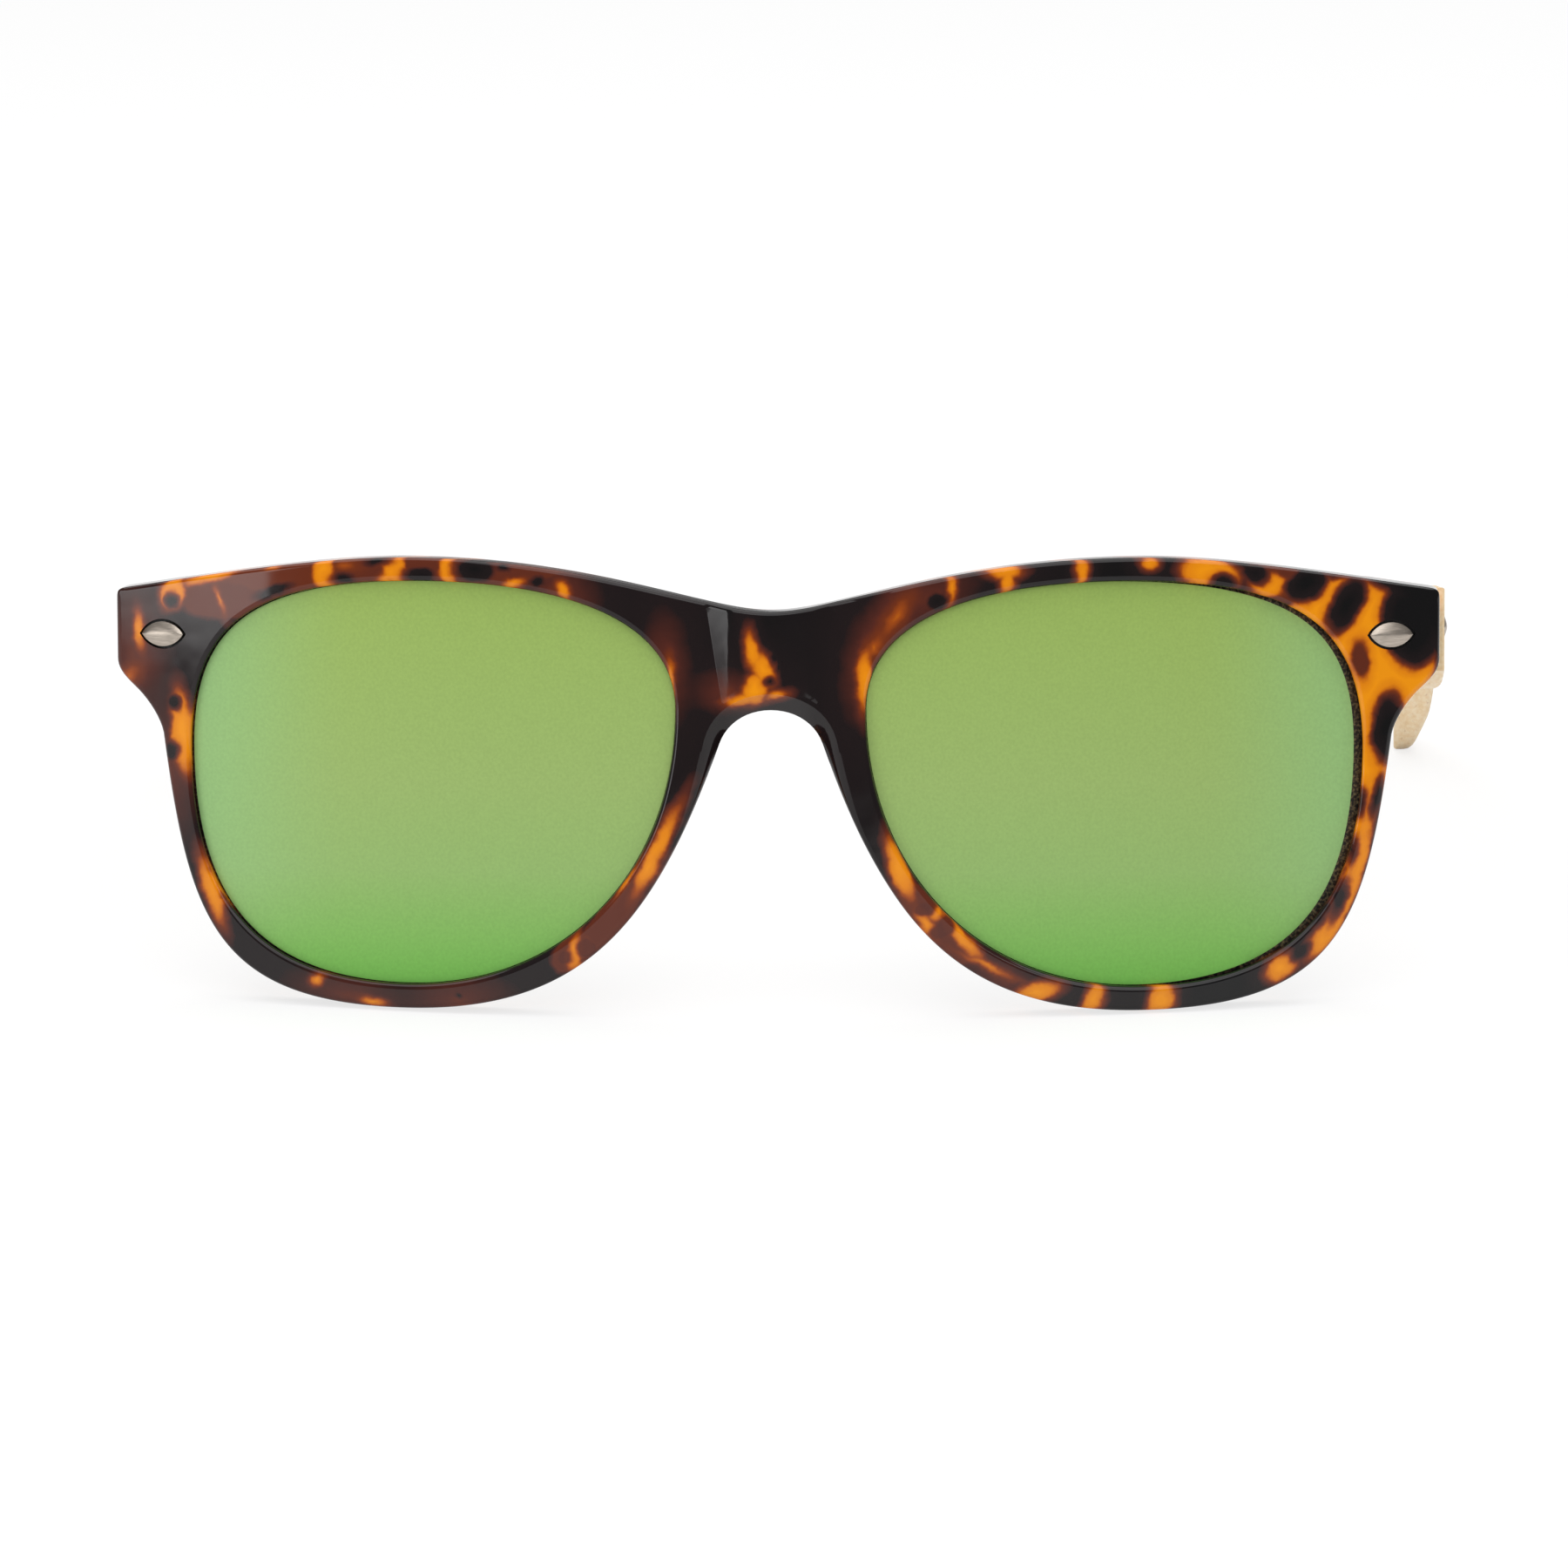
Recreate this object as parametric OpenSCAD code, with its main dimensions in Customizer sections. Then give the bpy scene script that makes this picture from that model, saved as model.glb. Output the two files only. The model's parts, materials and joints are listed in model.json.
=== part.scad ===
// Sunglasses with a moulded tortoiseshell front, mirrored lenses and bamboo temples.
// Millimetres. +Z up, the front faces -Y, the temples run back along +Y, and the glasses
// stand open on the lower rims and the temple tips. Right means the +X side.

/* [Lenses] */
// Width of one lens opening
lens_w = 53.8; // [46:0.2:60]
// Height of one lens opening
lens_h = 44.1; // [36:0.1:50]
// Thickness of a lens
lens_t = 1.9; // [1.2:0.1:2.4]
// Distance between the two lens openings
bridge_w = 20.6; // [16:0.2:24]

/* [Front] */
// Width of an end piece, from the lens opening to its outer edge
end_w = 8.4; // [8:0.1:12]
// Thickness of the front, front face to back face
front_t = 4; // [3.6:0.1:5.5]
// Radius that the front is bowed to, seen from above
wrap_r = 220; // [180:5:400]
// Height of the rim over the lens opening at the brow
rim_top = 2.55; // [2:0.05:5]
// Height of the rim under the lens opening
rim_bottom = 2.65; // [2:0.05:5]
// Width of the rim beside the lens opening, outer side
rim_side = 2.5; // [2:0.1:3.5]
// Width of the rim beside the lens opening at the top of the nose
rim_nose = 4.7; // [3.5:0.1:6]
// How far the top edge dips at the bridge, below the brow
brow_dip = 5.6; // [3:0.1:8]
// Height of the bridge, top edge to nose arch
bridge_h = 10.8; // [7:0.1:14]
// How far the top edge falls from the brow to the end piece's corner
end_fall = 4.05; // [2:0.05:5]
// Height of the end piece at its outer edge
end_h = 8.95; // [7.5:0.05:11]
// Depth of the end piece behind the rim, back to the joint with the temple
end_depth = 7.1; // [6.3:0.1:11]
// How far the moulded nose pads stand behind the front
pad_depth = 3.2; // [2:0.1:5]
// Depth of the groove that holds the lens
groove_depth = 0.9; // [0.5:0.05:1.3]
// Rim left in front of the lens groove
groove_lip = 1.1; // [0.8:0.05:1.4]

/* [Temples] */
// Length of a temple from its hinge to its tip
temple_len = 134; // [124:0.5:144]
// Height of a temple at its front end
temple_h = 9.2; // [8.5:0.1:12]
// Thickness of a temple
temple_t = 5; // [4.4:0.1:6]
// How far the temple's lower edge swells below its front end
belly = 2.6; // [0:0.1:6]
// Thickness of a temple at the end of its tapered tip
tip_t = 1.8; // [1.4:0.1:4]
// Length of the tip's taper
tip_taper = 26; // [10:1:40]
// Height of a temple where its ear bend starts
ear_h = 8.2; // [6:0.1:10]
// How far the ear bend drops the tip
ear_drop = 14; // [8:0.5:20]
// Angle that an open temple spreads outwards
splay = 1.8; // [0:0.1:3]
// How far a temple stands out past the end piece
temple_proud = 0.95; // [0:0.05:1.2]
// Angle between the temple and a line square to the front, temple tip down
tilt = 3.5; // [0:0.5:10]

/* [Hinges] */
// Radius of the hinge barrel
knuckle_r = 1.4; // [1.2:0.05:1.7]
// Height of the hinge barrel
barrel_h = 5.4; // [4.5:0.1:7]
// Radius of the hinge screw
pin_r = 0.7; // [0.5:0.05:0.8]
// Thickness of a hinge leaf
leaf_t = 0.8; // [0.6:0.05:1]
// Length of the leaf on the temple
temple_leaf_len = 9; // [7.5:0.5:11]
// Length of the leaf on the end piece
front_leaf_len = 3.9; // [3.6:0.1:4.4]
// Radius of a leaf screw's shank
leaf_screw_r = 0.55; // [0.4:0.05:0.65]
// Length of a leaf screw under its head
leaf_screw_len = 2.2; // [1.5:0.1:3]

/* [Studs] */
// Length of a stud
stud_w = 4.95; // [4:0.05:6]
// Height of a stud
stud_h = 2.7; // [2:0.05:3.5]
// How far a stud's dome stands out
stud_dome = 0.5; // [0.3:0.05:0.8]
// Distance of the front stud from the end piece's outer edge
stud_in = 5.3; // [4:0.1:6]
// Distance of the temple stud from the hinge
temple_stud_y = 14.5; // [13.5:0.5:24]

/* [Clearances] */
// Gap between the temple's end and the end piece
butt_gap = 0.1; // [0.05:0.05:0.3]
// Gap between the hinge barrel and the faces that turn past it
barrel_gap = 0.3; // [0.2:0.05:0.6]
// Radial clearance of a knuckle on its screw
pin_gap = 0.03; // [0.02:0.01:0.08]
// Gap between neighbouring knuckles
knuckle_gap = 0.05; // [0.03:0.01:0.2]
// Clearance round a lens in its groove, and of pins and screws in their holes
seat_gap = 0.03; // [0.01:0.01:0.08]
// Width of the dark line round a stud
stud_line = 0.3; // [0.1:0.05:0.5]

/* [Hidden] */
$fn = 64;
// Facets of the large bowed faces, and steps along one curve of an outline
wrap_fn = 720;
steps = 10;
// Reach of a cutting or limiting solid past the part
reach = 60;

// Landmarks of the right half of the front, as x and z seen from in front.
// The height zero is the middle of the lens opening.
lens_x = (bridge_w + lens_w) / 2;
lens_out = lens_x + lens_w / 2;
brow_z = lens_h / 2 + rim_top;
chin_z = -lens_h / 2 - rim_bottom;
bridge_z = brow_z - brow_dip;
arch_z = bridge_z - bridge_h;
end_x = lens_out + end_w;
end_z = brow_z - end_fall;
brow = [lens_x + 2.3, brow_z];
chin = [lens_x + 2.8, chin_z];
corner_top = [end_x, end_z];
corner_low = [end_x, end_z - end_h];
shoulder = [lens_out + rim_side + 0.7, corner_low.y - 6.75];
nose = [bridge_w / 2 - rim_nose, arch_z - 3.65];

// Places in the bowed front
function wrap_y(x, depth = 0) = wrap_r - sqrt((wrap_r - depth) ^ 2 - x ^ 2);
hinge_in = knuckle_r + barrel_gap;
joint_x = end_x + temple_proud - temple_t;
rim_back = wrap_y(joint_x, front_t);
hinge_x = joint_x - hinge_in;
hinge_y = rim_back + end_depth;
temple_step = 0.6;
hinge_z = end_z - temple_h / 2 - temple_step;

// A cubic curve from a to d with handles b and c, its direction, and points along it
function curve_at(a, b, c, d, t) =
    (1 - t) ^ 3 * a + 3 * (1 - t) ^ 2 * t * b + 3 * (1 - t) * t ^ 2 * c + t ^ 3 * d;
function heading(a, b, c, d, t) =
    (1 - t) ^ 2 * (b - a) + 2 * (1 - t) * t * (c - b) + t ^ 2 * (d - c);
function side_of(v) = [-v.y, v.x] / norm(v);
function curve(q, shift = 0) = [
    for (i = [0:steps - 1])
        let (t = i / steps, v = heading(q[0], q[1], q[2], q[3], t))
            curve_at(q[0], q[1], q[2], q[3], t) + shift * side_of(v)
];
function curves(list, shift = 0) = [for (q = list) each curve(q, shift)];
function flip(points) = [for (i = [len(points) - 1:-1:0]) [-points[i].x, points[i].y]];

// Lens opening, clockwise from its top: four curves between its extreme points
half_w = lens_w / 2;
half_h = lens_h / 2;
lens_top = [lens_x + 0.03 * half_w, half_h];
lens_side = [lens_out, 0.15 * half_h];
lens_low = [lens_x + 0.1 * half_w, -half_h];
lens_nose = [bridge_w / 2, 0.38 * half_h];
lens_curves = [
    [lens_top, lens_top + [0.7 * half_w, 0], lens_side + [0, 0.62 * half_h], lens_side],
    [lens_side, lens_side - [0, 0.77 * half_h], lens_low + [0.63 * half_w, 0], lens_low],
    [lens_low, lens_low - [0.67 * half_w, 0], lens_nose - [0, 0.77 * half_h], lens_nose],
    [lens_nose, lens_nose + [0, 0.39 * half_h], lens_top - [0.68 * half_w, 0], lens_top]
];
function lens_outline(shift) = curves(lens_curves, shift);

// Outline of the front's right half, clockwise from the bridge's top to the nose arch
top_fall = 0.165;
top_r = 1.7;
corner_in = corner_top - top_r * [1, -top_fall];
corner_out = corner_top - [0, top_r];
low_out = corner_low + [0, 1.4];
low_in = corner_low - [2, 1.77];
side_lean = 0.13;
nose_lean = 0.36;
front_curves = [
    [[0, bridge_z], [0.19 * brow.x, bridge_z], [0.47 * brow.x, brow_z], brow],
    [brow, brow + [0.3 * (end_x - brow.x), 0],
        corner_in - 0.26 * (end_x - brow.x) * [1, -top_fall], corner_in],
    [corner_in, corner_top, corner_top, corner_out],
    [corner_out, corner_out - [0, 1], low_out + [0, 1], low_out],
    [low_out, corner_low + [0, 0.3], corner_low - [0.5, 0.44], low_in],
    [low_in, low_in - [1.3, 1.13], shoulder + [0.35, 1.75], shoulder],
    [shoulder, shoulder + 0.7 * (chin_z - shoulder.y) * [side_lean, 1],
        chin + [0.8 * (shoulder.x - chin.x), 0], chin],
    [chin, chin - [0.58 * (chin.x - nose.x), 0],
        nose + 0.65 * (chin_z - nose.y) * [-nose_lean, 1], nose],
    [nose, nose + 2.3 * [-nose_lean, 1], [0.46 * nose.x, arch_z], [0, arch_z]]
];
half_front = concat(curves(front_curves), [[0, arch_z]]);
front_outline = concat(half_front, flip([for (i = [1:len(half_front) - 2]) half_front[i]]));

// Temple in its own frame: y back from the hinge, z up, x out from the hinge axis
ear_y = 0.66 * temple_len;
ear_up = 0.38 * ear_h;
ear_low = ear_up - ear_h;
belly_at = [22, -temple_h / 2 - belly];
bend_pull = 15;
belly_pull = 24;
tip_top = [temple_len - 3, ear_up - 0.9 * ear_drop];
tip_low = [temple_len - 7.5, ear_low - 0.93 * ear_drop];
temple_side = [
    [[butt_gap, temple_h / 2], [0.25 * ear_y, temple_h / 2], [0.7 * ear_y, ear_up + 0.9], [ear_y, ear_up]],
    [[ear_y, ear_up], [ear_y + bend_pull, ear_up - 0.7], tip_top - bend_pull * [1, -0.49], tip_top],
    [tip_top, tip_top + [3.4, -1.7], [temple_len + 1, tip_low.y + 0.2], tip_low],
    [tip_low, tip_low - 0.7 * bend_pull * [1, -0.5], [ear_y + bend_pull, ear_low - 0.7], [ear_y, ear_low]],
    [[ear_y, ear_low], [ear_y - belly_pull, ear_low + 0.5], belly_at + [belly_pull, 0], belly_at],
    [belly_at, belly_at - [9, 0], [8, belly_at.y + 0.5 * belly], [butt_gap, -temple_h / 2]]
];
// Outline of a temple seen from above, straight but for the outer face's taper at the tip
taper_y = temple_len - tip_taper;
tip_mark = [hinge_in + tip_t, temple_len + 2];
temple_plan = concat(
    [[hinge_in, tip_mark.y], [hinge_in, 0], [hinge_in + temple_t, 0]],
    curve([
        [hinge_in + temple_t, taper_y], [hinge_in + temple_t, taper_y + 0.42 * tip_taper],
        tip_mark + [1.7, -0.4 * tip_taper], tip_mark
    ]),
    [tip_mark]
);

// Standing pose: the lean at which the lower rims and the temple tips share one level
function to_front(p) =
    let (back = p.x * cos(splay))
        [hinge_y + back * cos(tilt) + p.y * sin(tilt), hinge_z - back * sin(tilt) + p.y * cos(tilt)];
function level(p, lean) = p.y * cos(lean) - p.x * sin(lean);
function ahead(p, lean) = p.x * cos(lean) + p.y * sin(lean);
rim_feet = [for (p = half_front) [wrap_y(p.x, front_t), p.y]];
rim_faces = [for (p = half_front) [wrap_y(p.x), p.y]];
tip_feet = [for (p = curves(temple_side)) to_front(p)];
function lowest(points, lean) =
    let (levels = [for (p = points) level(p, lean)])
        [for (p = points) if (level(p, lean) == min(levels)) p][0];
function lean_from(guess) =
    let (rim = lowest(rim_feet, guess), tip = lowest(tip_feet, guess))
        atan((tip.y - rim.y) / (tip.x - rim.x));
lean = lean_from(lean_from(5));
floor_z = level(lowest(rim_feet, lean), lean);
front_y = min([for (p = rim_faces) ahead(p, lean)]);
back_y = max([for (p = tip_feet) ahead(p, lean)]);

// Hinge, studs and screws
leaf_h = barrel_h - 0.2;
knuckle_h = barrel_h / 3;
leaf_from = knuckle_r + barrel_gap;
leaf_room = 0.1;
leaf_head_r = leaf_screw_r + 0.35;
leaf_head_h = 0.35;
pin_head_r = pin_r + 0.4;
pin_head_h = 0.6;
slot_w = 0.3;
slot_depth = 0.2;
screw_rise = leaf_h / 2 - leaf_head_r - 0.25;
front_screw_y = -leaf_from - front_leaf_len / 2;
temple_screw_ys = [leaf_from + leaf_head_r + 0.8, leaf_from + temple_leaf_len - leaf_head_r - 0.8];
stud_sink = 0.6;
stud_pin_r = 0.6;
stud_pin_len = 1.6;
stud_x = end_x - stud_in;
stud_z = end_z - end_h / 2 - 0.35;

tortoiseshell = "#7a4416";
mirror_green = "#9bb464";
bamboo = "#e8cda5";
pewter = "#aaa096";
steel = "#c4c6c8";

// Puts what is drawn in the front's own frame into the standing pose
module stand() {
    translate([0, -(front_y + back_y) / 2, -floor_z]) rotate([-lean, 0, 0]) children();
}

// Puts what is drawn round a hinge's axis at the right hinge, in the front's own frame
module right_hinge() {
    translate([hinge_x, hinge_y, hinge_z]) rotate([-tilt, 0, 0]) children();
}

// Puts a hinge's fixed pieces on the given side, 1 for right and -1 for left
module at_hinge(side) {
    stand() mirror([side < 0 ? 1 : 0, 0, 0]) right_hinge() children();
}

// Puts a temple's pieces on the given side, opened to its stop
module at_temple(side) {
    at_hinge(side) rotate([0, 0, -splay]) children();
}

// Puts what is drawn for the right front stud in place, with +Z out of the front's face
module at_front_stud(side) {
    turn = asin(stud_x / wrap_r);
    mirror([side < 0 ? 1 : 0, 0, 0])
        translate([stud_x, wrap_y(stud_x), stud_z]) rotate([0, 0, turn]) rotate([90, 0, 0]) children();
}

// Puts what is drawn for a temple stud in place, with +Z out of the temple's outer face
module at_temple_stud() {
    translate([hinge_in + temple_t, temple_stud_y, 0]) rotate([90, 0, 90]) children();
}

// Part of the bowed front between two depths behind its front face
module bowed_slab(from, to) {
    translate([0, wrap_r, -reach]) difference() {
        cylinder(r = wrap_r - from, h = 2 * reach, $fn = wrap_fn);
        translate([0, 0, -1]) cylinder(r = wrap_r - to, h = 2 * reach + 2, $fn = wrap_fn);
    }
}

// Runs an outline drawn as x and z straight back from the front
module run_back(points) {
    translate([0, reach, 0]) rotate([90, 0, 0]) linear_extrude(reach + 10) polygon(points);
}

module both_sides() {
    children();
    mirror([1, 0, 0]) children();
}

// Almond outline of a stud, grown by a margin
module almond(height, grow = 0) {
    a = stud_w / 2 + grow;
    b = stud_h / 2 + grow;
    r = (a * a + b * b) / (2 * b);
    intersection() {
        translate([0, r - b, 0]) cylinder(r = r, h = height);
        translate([0, b - r, 0]) cylinder(r = r, h = height);
    }
}

// Recess and pin hole of a stud, from just outside the face
module stud_seat() {
    translate([0, 0, -stud_sink]) almond(stud_sink + 2, stud_line);
    translate([0, 0, -stud_sink - stud_pin_len - 0.2])
        cylinder(r = stud_pin_r + seat_gap, h = stud_pin_len + 1);
}

module stud() {
    edge_rise = 0.1;
    rise = stud_dome - edge_rise;
    r = (stud_w * stud_w / 4 + rise * rise) / (2 * rise);
    color(pewter) union() {
        intersection() {
            translate([0, 0, -stud_sink]) almond(stud_sink + stud_dome);
            translate([0, 0, stud_dome - r]) sphere(r = r, $fn = 128);
        }
        translate([0, 0, -stud_sink - stud_pin_len]) cylinder(r = stud_pin_r, h = stud_pin_len + 0.2);
    }
}

// End piece's return, from the back of the front to the joint with the temple
module end_return() {
    web = 3.6;
    sink = 2;
    fillet = end_depth - leaf_from - front_leaf_len - leaf_room - barrel_h / 2 * sin(tilt);
    floor_of_return = hinge_z - temple_h / 2;
    intersection() {
        run_back(front_outline);
        translate([0, 0, floor_of_return]) linear_extrude(reach) polygon([
            [joint_x - web, rim_back - sink], [joint_x - web, rim_back - web / 4],
            [joint_x - 0.45 * web, rim_back + 0.07 * fillet], [joint_x, rim_back + fillet],
            [joint_x, hinge_y + sink], [end_x + sink, hinge_y + sink], [end_x + sink, rim_back - sink]
        ]);
        translate([0, wrap_r, -reach]) cylinder(r = wrap_r, h = 2 * reach, $fn = wrap_fn);
        right_hinge() rotate([0, 0, -splay]) translate([-reach, -2 * reach, -reach]) cube(2 * reach);
    }
}

// Moulded nose pad behind the rim on the right of the nose
module nose_pad() {
    pad_r = 9;
    pad_x = nose.x + 7;
    pad_z = nose.y - 11.5;
    intersection() {
        run_back(front_outline);
        translate([pad_x, wrap_y(pad_x, front_t) + pad_depth - pad_r, pad_z]) sphere(r = pad_r, $fn = 128);
        translate([0, wrap_r, -reach]) cylinder(r = wrap_r - front_t + 0.2, h = 2 * reach, $fn = wrap_fn);
    }
}

// Countersunk leaf screw along +X, its head's face at x = 0
module leaf_screw_shape(gap = 0) {
    rotate([0, 90, 0]) {
        cylinder(r1 = leaf_head_r + gap, r2 = leaf_screw_r + gap, h = leaf_head_h);
        translate([0, 0, leaf_head_h / 2])
            cylinder(r = leaf_screw_r + gap, h = leaf_t + leaf_screw_len - leaf_head_h / 2 + gap);
    }
}

module leaf_screw() {
    color(steel) difference() {
        leaf_screw_shape();
        translate([slot_depth - 1, -slot_w / 2, -reach / 2]) cube([1, slot_w, reach]);
    }
}

module at_front_screw(row) {
    translate([hinge_in - leaf_t, front_screw_y, row * screw_rise]) children();
}

module at_temple_screw(row) {
    translate([hinge_in - leaf_t, temple_screw_ys[row], 0]) children();
}

// One knuckle of a barrel between two heights, with the tongue that joins it to its leaf
module knuckle(from, to, side) {
    translate([0, 0, from]) cylinder(r = knuckle_r, h = to - from);
    translate([hinge_in - leaf_t, side > 0 ? 0 : -leaf_from, from]) cube([leaf_t, leaf_from, to - from]);
}

module pin_bore() {
    translate([0, 0, -barrel_h]) cylinder(r = pin_r + pin_gap, h = 2 * barrel_h);
}

module front_frame() {
    color(tortoiseshell) stand() difference() {
        union() {
            intersection() {
                bowed_slab(0, front_t);
                run_back(front_outline);
            }
            both_sides() end_return();
            both_sides() nose_pad();
        }
        both_sides() run_back(lens_outline(0));
        both_sides() intersection() {
            bowed_slab(groove_lip - seat_gap, groove_lip + lens_t + seat_gap);
            run_back(lens_outline(groove_depth));
        }
        for (side = [-1, 1]) at_front_stud(side) stud_seat();
        both_sides() right_hinge() for (row = [-1, 1]) at_front_screw(row) leaf_screw_shape(seat_gap);
    }
}

module lens(side) {
    color(mirror_green) stand() mirror([side < 0 ? 1 : 0, 0, 0]) intersection() {
        bowed_slab(groove_lip, groove_lip + lens_t);
        run_back(lens_outline(groove_depth - seat_gap));
    }
}

module front_leaf() {
    color(steel) difference() {
        union() {
            translate([hinge_in - leaf_t, -leaf_from - front_leaf_len, -leaf_h / 2])
                cube([leaf_t, front_leaf_len, leaf_h]);
            for (side = [-1, 1]) mirror([0, 0, side < 0 ? 1 : 0])
                knuckle(knuckle_h / 2 + knuckle_gap, barrel_h / 2, -1);
        }
        pin_bore();
        for (row = [-1, 1]) at_front_screw(row) leaf_screw_shape(seat_gap);
    }
}

module temple_leaf() {
    color(steel) difference() {
        union() {
            translate([hinge_in - leaf_t, leaf_from, -leaf_h / 2]) cube([leaf_t, temple_leaf_len, leaf_h]);
            knuckle(-knuckle_h / 2, knuckle_h / 2, 1);
        }
        pin_bore();
        for (row = [0, 1]) at_temple_screw(row) leaf_screw_shape(seat_gap);
    }
}

module hinge_screw() {
    color(steel) difference() {
        union() {
            translate([0, 0, -barrel_h / 2]) cylinder(r = pin_r, h = barrel_h + 0.1);
            translate([0, 0, barrel_h / 2]) cylinder(r = pin_head_r, h = pin_head_h);
        }
        translate([-reach / 2, -slot_w / 2, barrel_h / 2 + pin_head_h - slot_depth])
            cube([reach, slot_w, 1]);
    }
}

module temple() {
    color(bamboo) difference() {
        intersection() {
            rotate([90, 0, 90]) linear_extrude(reach) polygon(curves(temple_side));
            translate([0, 0, -reach]) linear_extrude(2 * reach) polygon(temple_plan);
        }
        at_temple_stud() stud_seat();
        for (row = [0, 1]) at_temple_screw(row) leaf_screw_shape(seat_gap);
    }
}

front_frame();
lens(-1);  // lens_left
lens(1);  // lens_right
stand() at_front_stud(-1) stud();  // front_stud_left
stand() at_front_stud(1) stud();  // front_stud_right
at_hinge(-1) front_leaf();  // front_leaf_left
at_hinge(1) front_leaf();  // front_leaf_right
at_hinge(-1) at_front_screw(1) leaf_screw();  // front_leaf_screw_upper_left
at_hinge(-1) at_front_screw(-1) leaf_screw();  // front_leaf_screw_lower_left
at_hinge(1) at_front_screw(1) leaf_screw();  // front_leaf_screw_upper_right
at_hinge(1) at_front_screw(-1) leaf_screw();  // front_leaf_screw_lower_right
at_hinge(-1) hinge_screw();  // hinge_screw_left
at_hinge(1) hinge_screw();  // hinge_screw_right
at_temple(-1) temple();  // temple_left
at_temple(1) temple();  // temple_right
at_temple(-1) at_temple_stud() stud();  // temple_stud_left
at_temple(1) at_temple_stud() stud();  // temple_stud_right
at_temple(-1) temple_leaf();  // temple_leaf_left
at_temple(1) temple_leaf();  // temple_leaf_right
at_temple(-1) at_temple_screw(0) leaf_screw();  // temple_leaf_screw_fore_left
at_temple(-1) at_temple_screw(1) leaf_screw();  // temple_leaf_screw_aft_left
at_temple(1) at_temple_screw(0) leaf_screw();  // temple_leaf_screw_fore_right
at_temple(1) at_temple_screw(1) leaf_screw();  // temple_leaf_screw_aft_right
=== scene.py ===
import json
from math import asin, atan2, cos, pi, radians, sin, sqrt, tan

import bmesh
import bpy
import numpy
from mathutils import Matrix, Vector
from mathutils.geometry import delaunay_2d_cdt


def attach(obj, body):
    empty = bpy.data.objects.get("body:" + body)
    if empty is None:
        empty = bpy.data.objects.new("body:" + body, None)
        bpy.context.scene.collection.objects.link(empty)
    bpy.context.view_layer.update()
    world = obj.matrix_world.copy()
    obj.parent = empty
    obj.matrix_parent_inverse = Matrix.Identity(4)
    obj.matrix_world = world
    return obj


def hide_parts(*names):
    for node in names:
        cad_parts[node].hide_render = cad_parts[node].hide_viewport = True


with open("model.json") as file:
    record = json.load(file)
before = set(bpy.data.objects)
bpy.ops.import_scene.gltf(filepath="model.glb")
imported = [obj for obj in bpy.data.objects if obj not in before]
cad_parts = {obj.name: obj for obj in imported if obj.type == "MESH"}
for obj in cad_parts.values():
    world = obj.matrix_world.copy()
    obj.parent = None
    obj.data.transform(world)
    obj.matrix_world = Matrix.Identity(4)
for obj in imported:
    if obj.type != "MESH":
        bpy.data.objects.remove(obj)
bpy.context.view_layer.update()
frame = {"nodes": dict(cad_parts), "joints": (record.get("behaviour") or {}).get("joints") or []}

# Front: one tortoiseshell plastic moulding with both rims, the bridge, the nose pads and the end pieces,
# bowed to the face and tumbled to a gloss. The lenses snap into it and everything else is fixed to it.
# Sizes in millimetres, in the front's own upright frame, with height zero at the middle of the lenses.
lens_w = 53.8
lens_h = 44.1
bridge_w = 20.6
end_w = 8.4
front_t = 4.0
wrap_r = 220.0
rim_top = 2.55
rim_bottom = 2.65
rim_side = 2.5
rim_nose = 4.7
brow_dip = 5.6
bridge_h = 10.8
end_fall = 4.05
end_h = 8.95
end_depth = 7.1
pad_depth = 3.2
temple_h = 9.2
temple_t = 5.0
temple_proud = 0.95
temple_step = 0.6
tilt = radians(3.5)
splay = radians(1.8)
hinge_in = 1.7

half_w = lens_w / 2
half_h = lens_h / 2
lens_x = (bridge_w + lens_w) / 2
lens_out = lens_x + half_w
brow_z = half_h + rim_top
chin_z = -half_h - rim_bottom
bridge_z = brow_z - brow_dip
arch_z = bridge_z - bridge_h
end_x = lens_out + end_w
end_z = brow_z - end_fall


def at(across, up):
    """A point or a way in an outline's plane."""
    return Vector((across, up))


def wrap_y(x, depth):
    """How far back the bowed front lies at x, at a depth behind its front face."""
    return wrap_r - sqrt((wrap_r - depth) ** 2 - x ** 2)


def ease(t):
    """A soft step from 0 to 1."""
    t = min(max(t, 0.0), 1.0)
    return t * t * (3 - 2 * t)


def outline(curves, spacing):
    """Points along cubic curves, each with its direction out of the shape on the left of the way."""
    spots = []
    for a, b, c, d in curves:
        length = (b - a).length + (c - b).length + (d - c).length
        steps = max(round(length / spacing), 8)
        for i in range(steps):
            t = i / steps
            u = 1 - t
            spot = u ** 3 * a + 3 * u * u * t * b + 3 * u * t * t * c + t ** 3 * d
            way = u * u * (b - a) + 2 * u * t * (c - b) + t * t * (d - c)
            spots.append((spot, at(-way.y, way.x).normalized()))
    return spots


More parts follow.
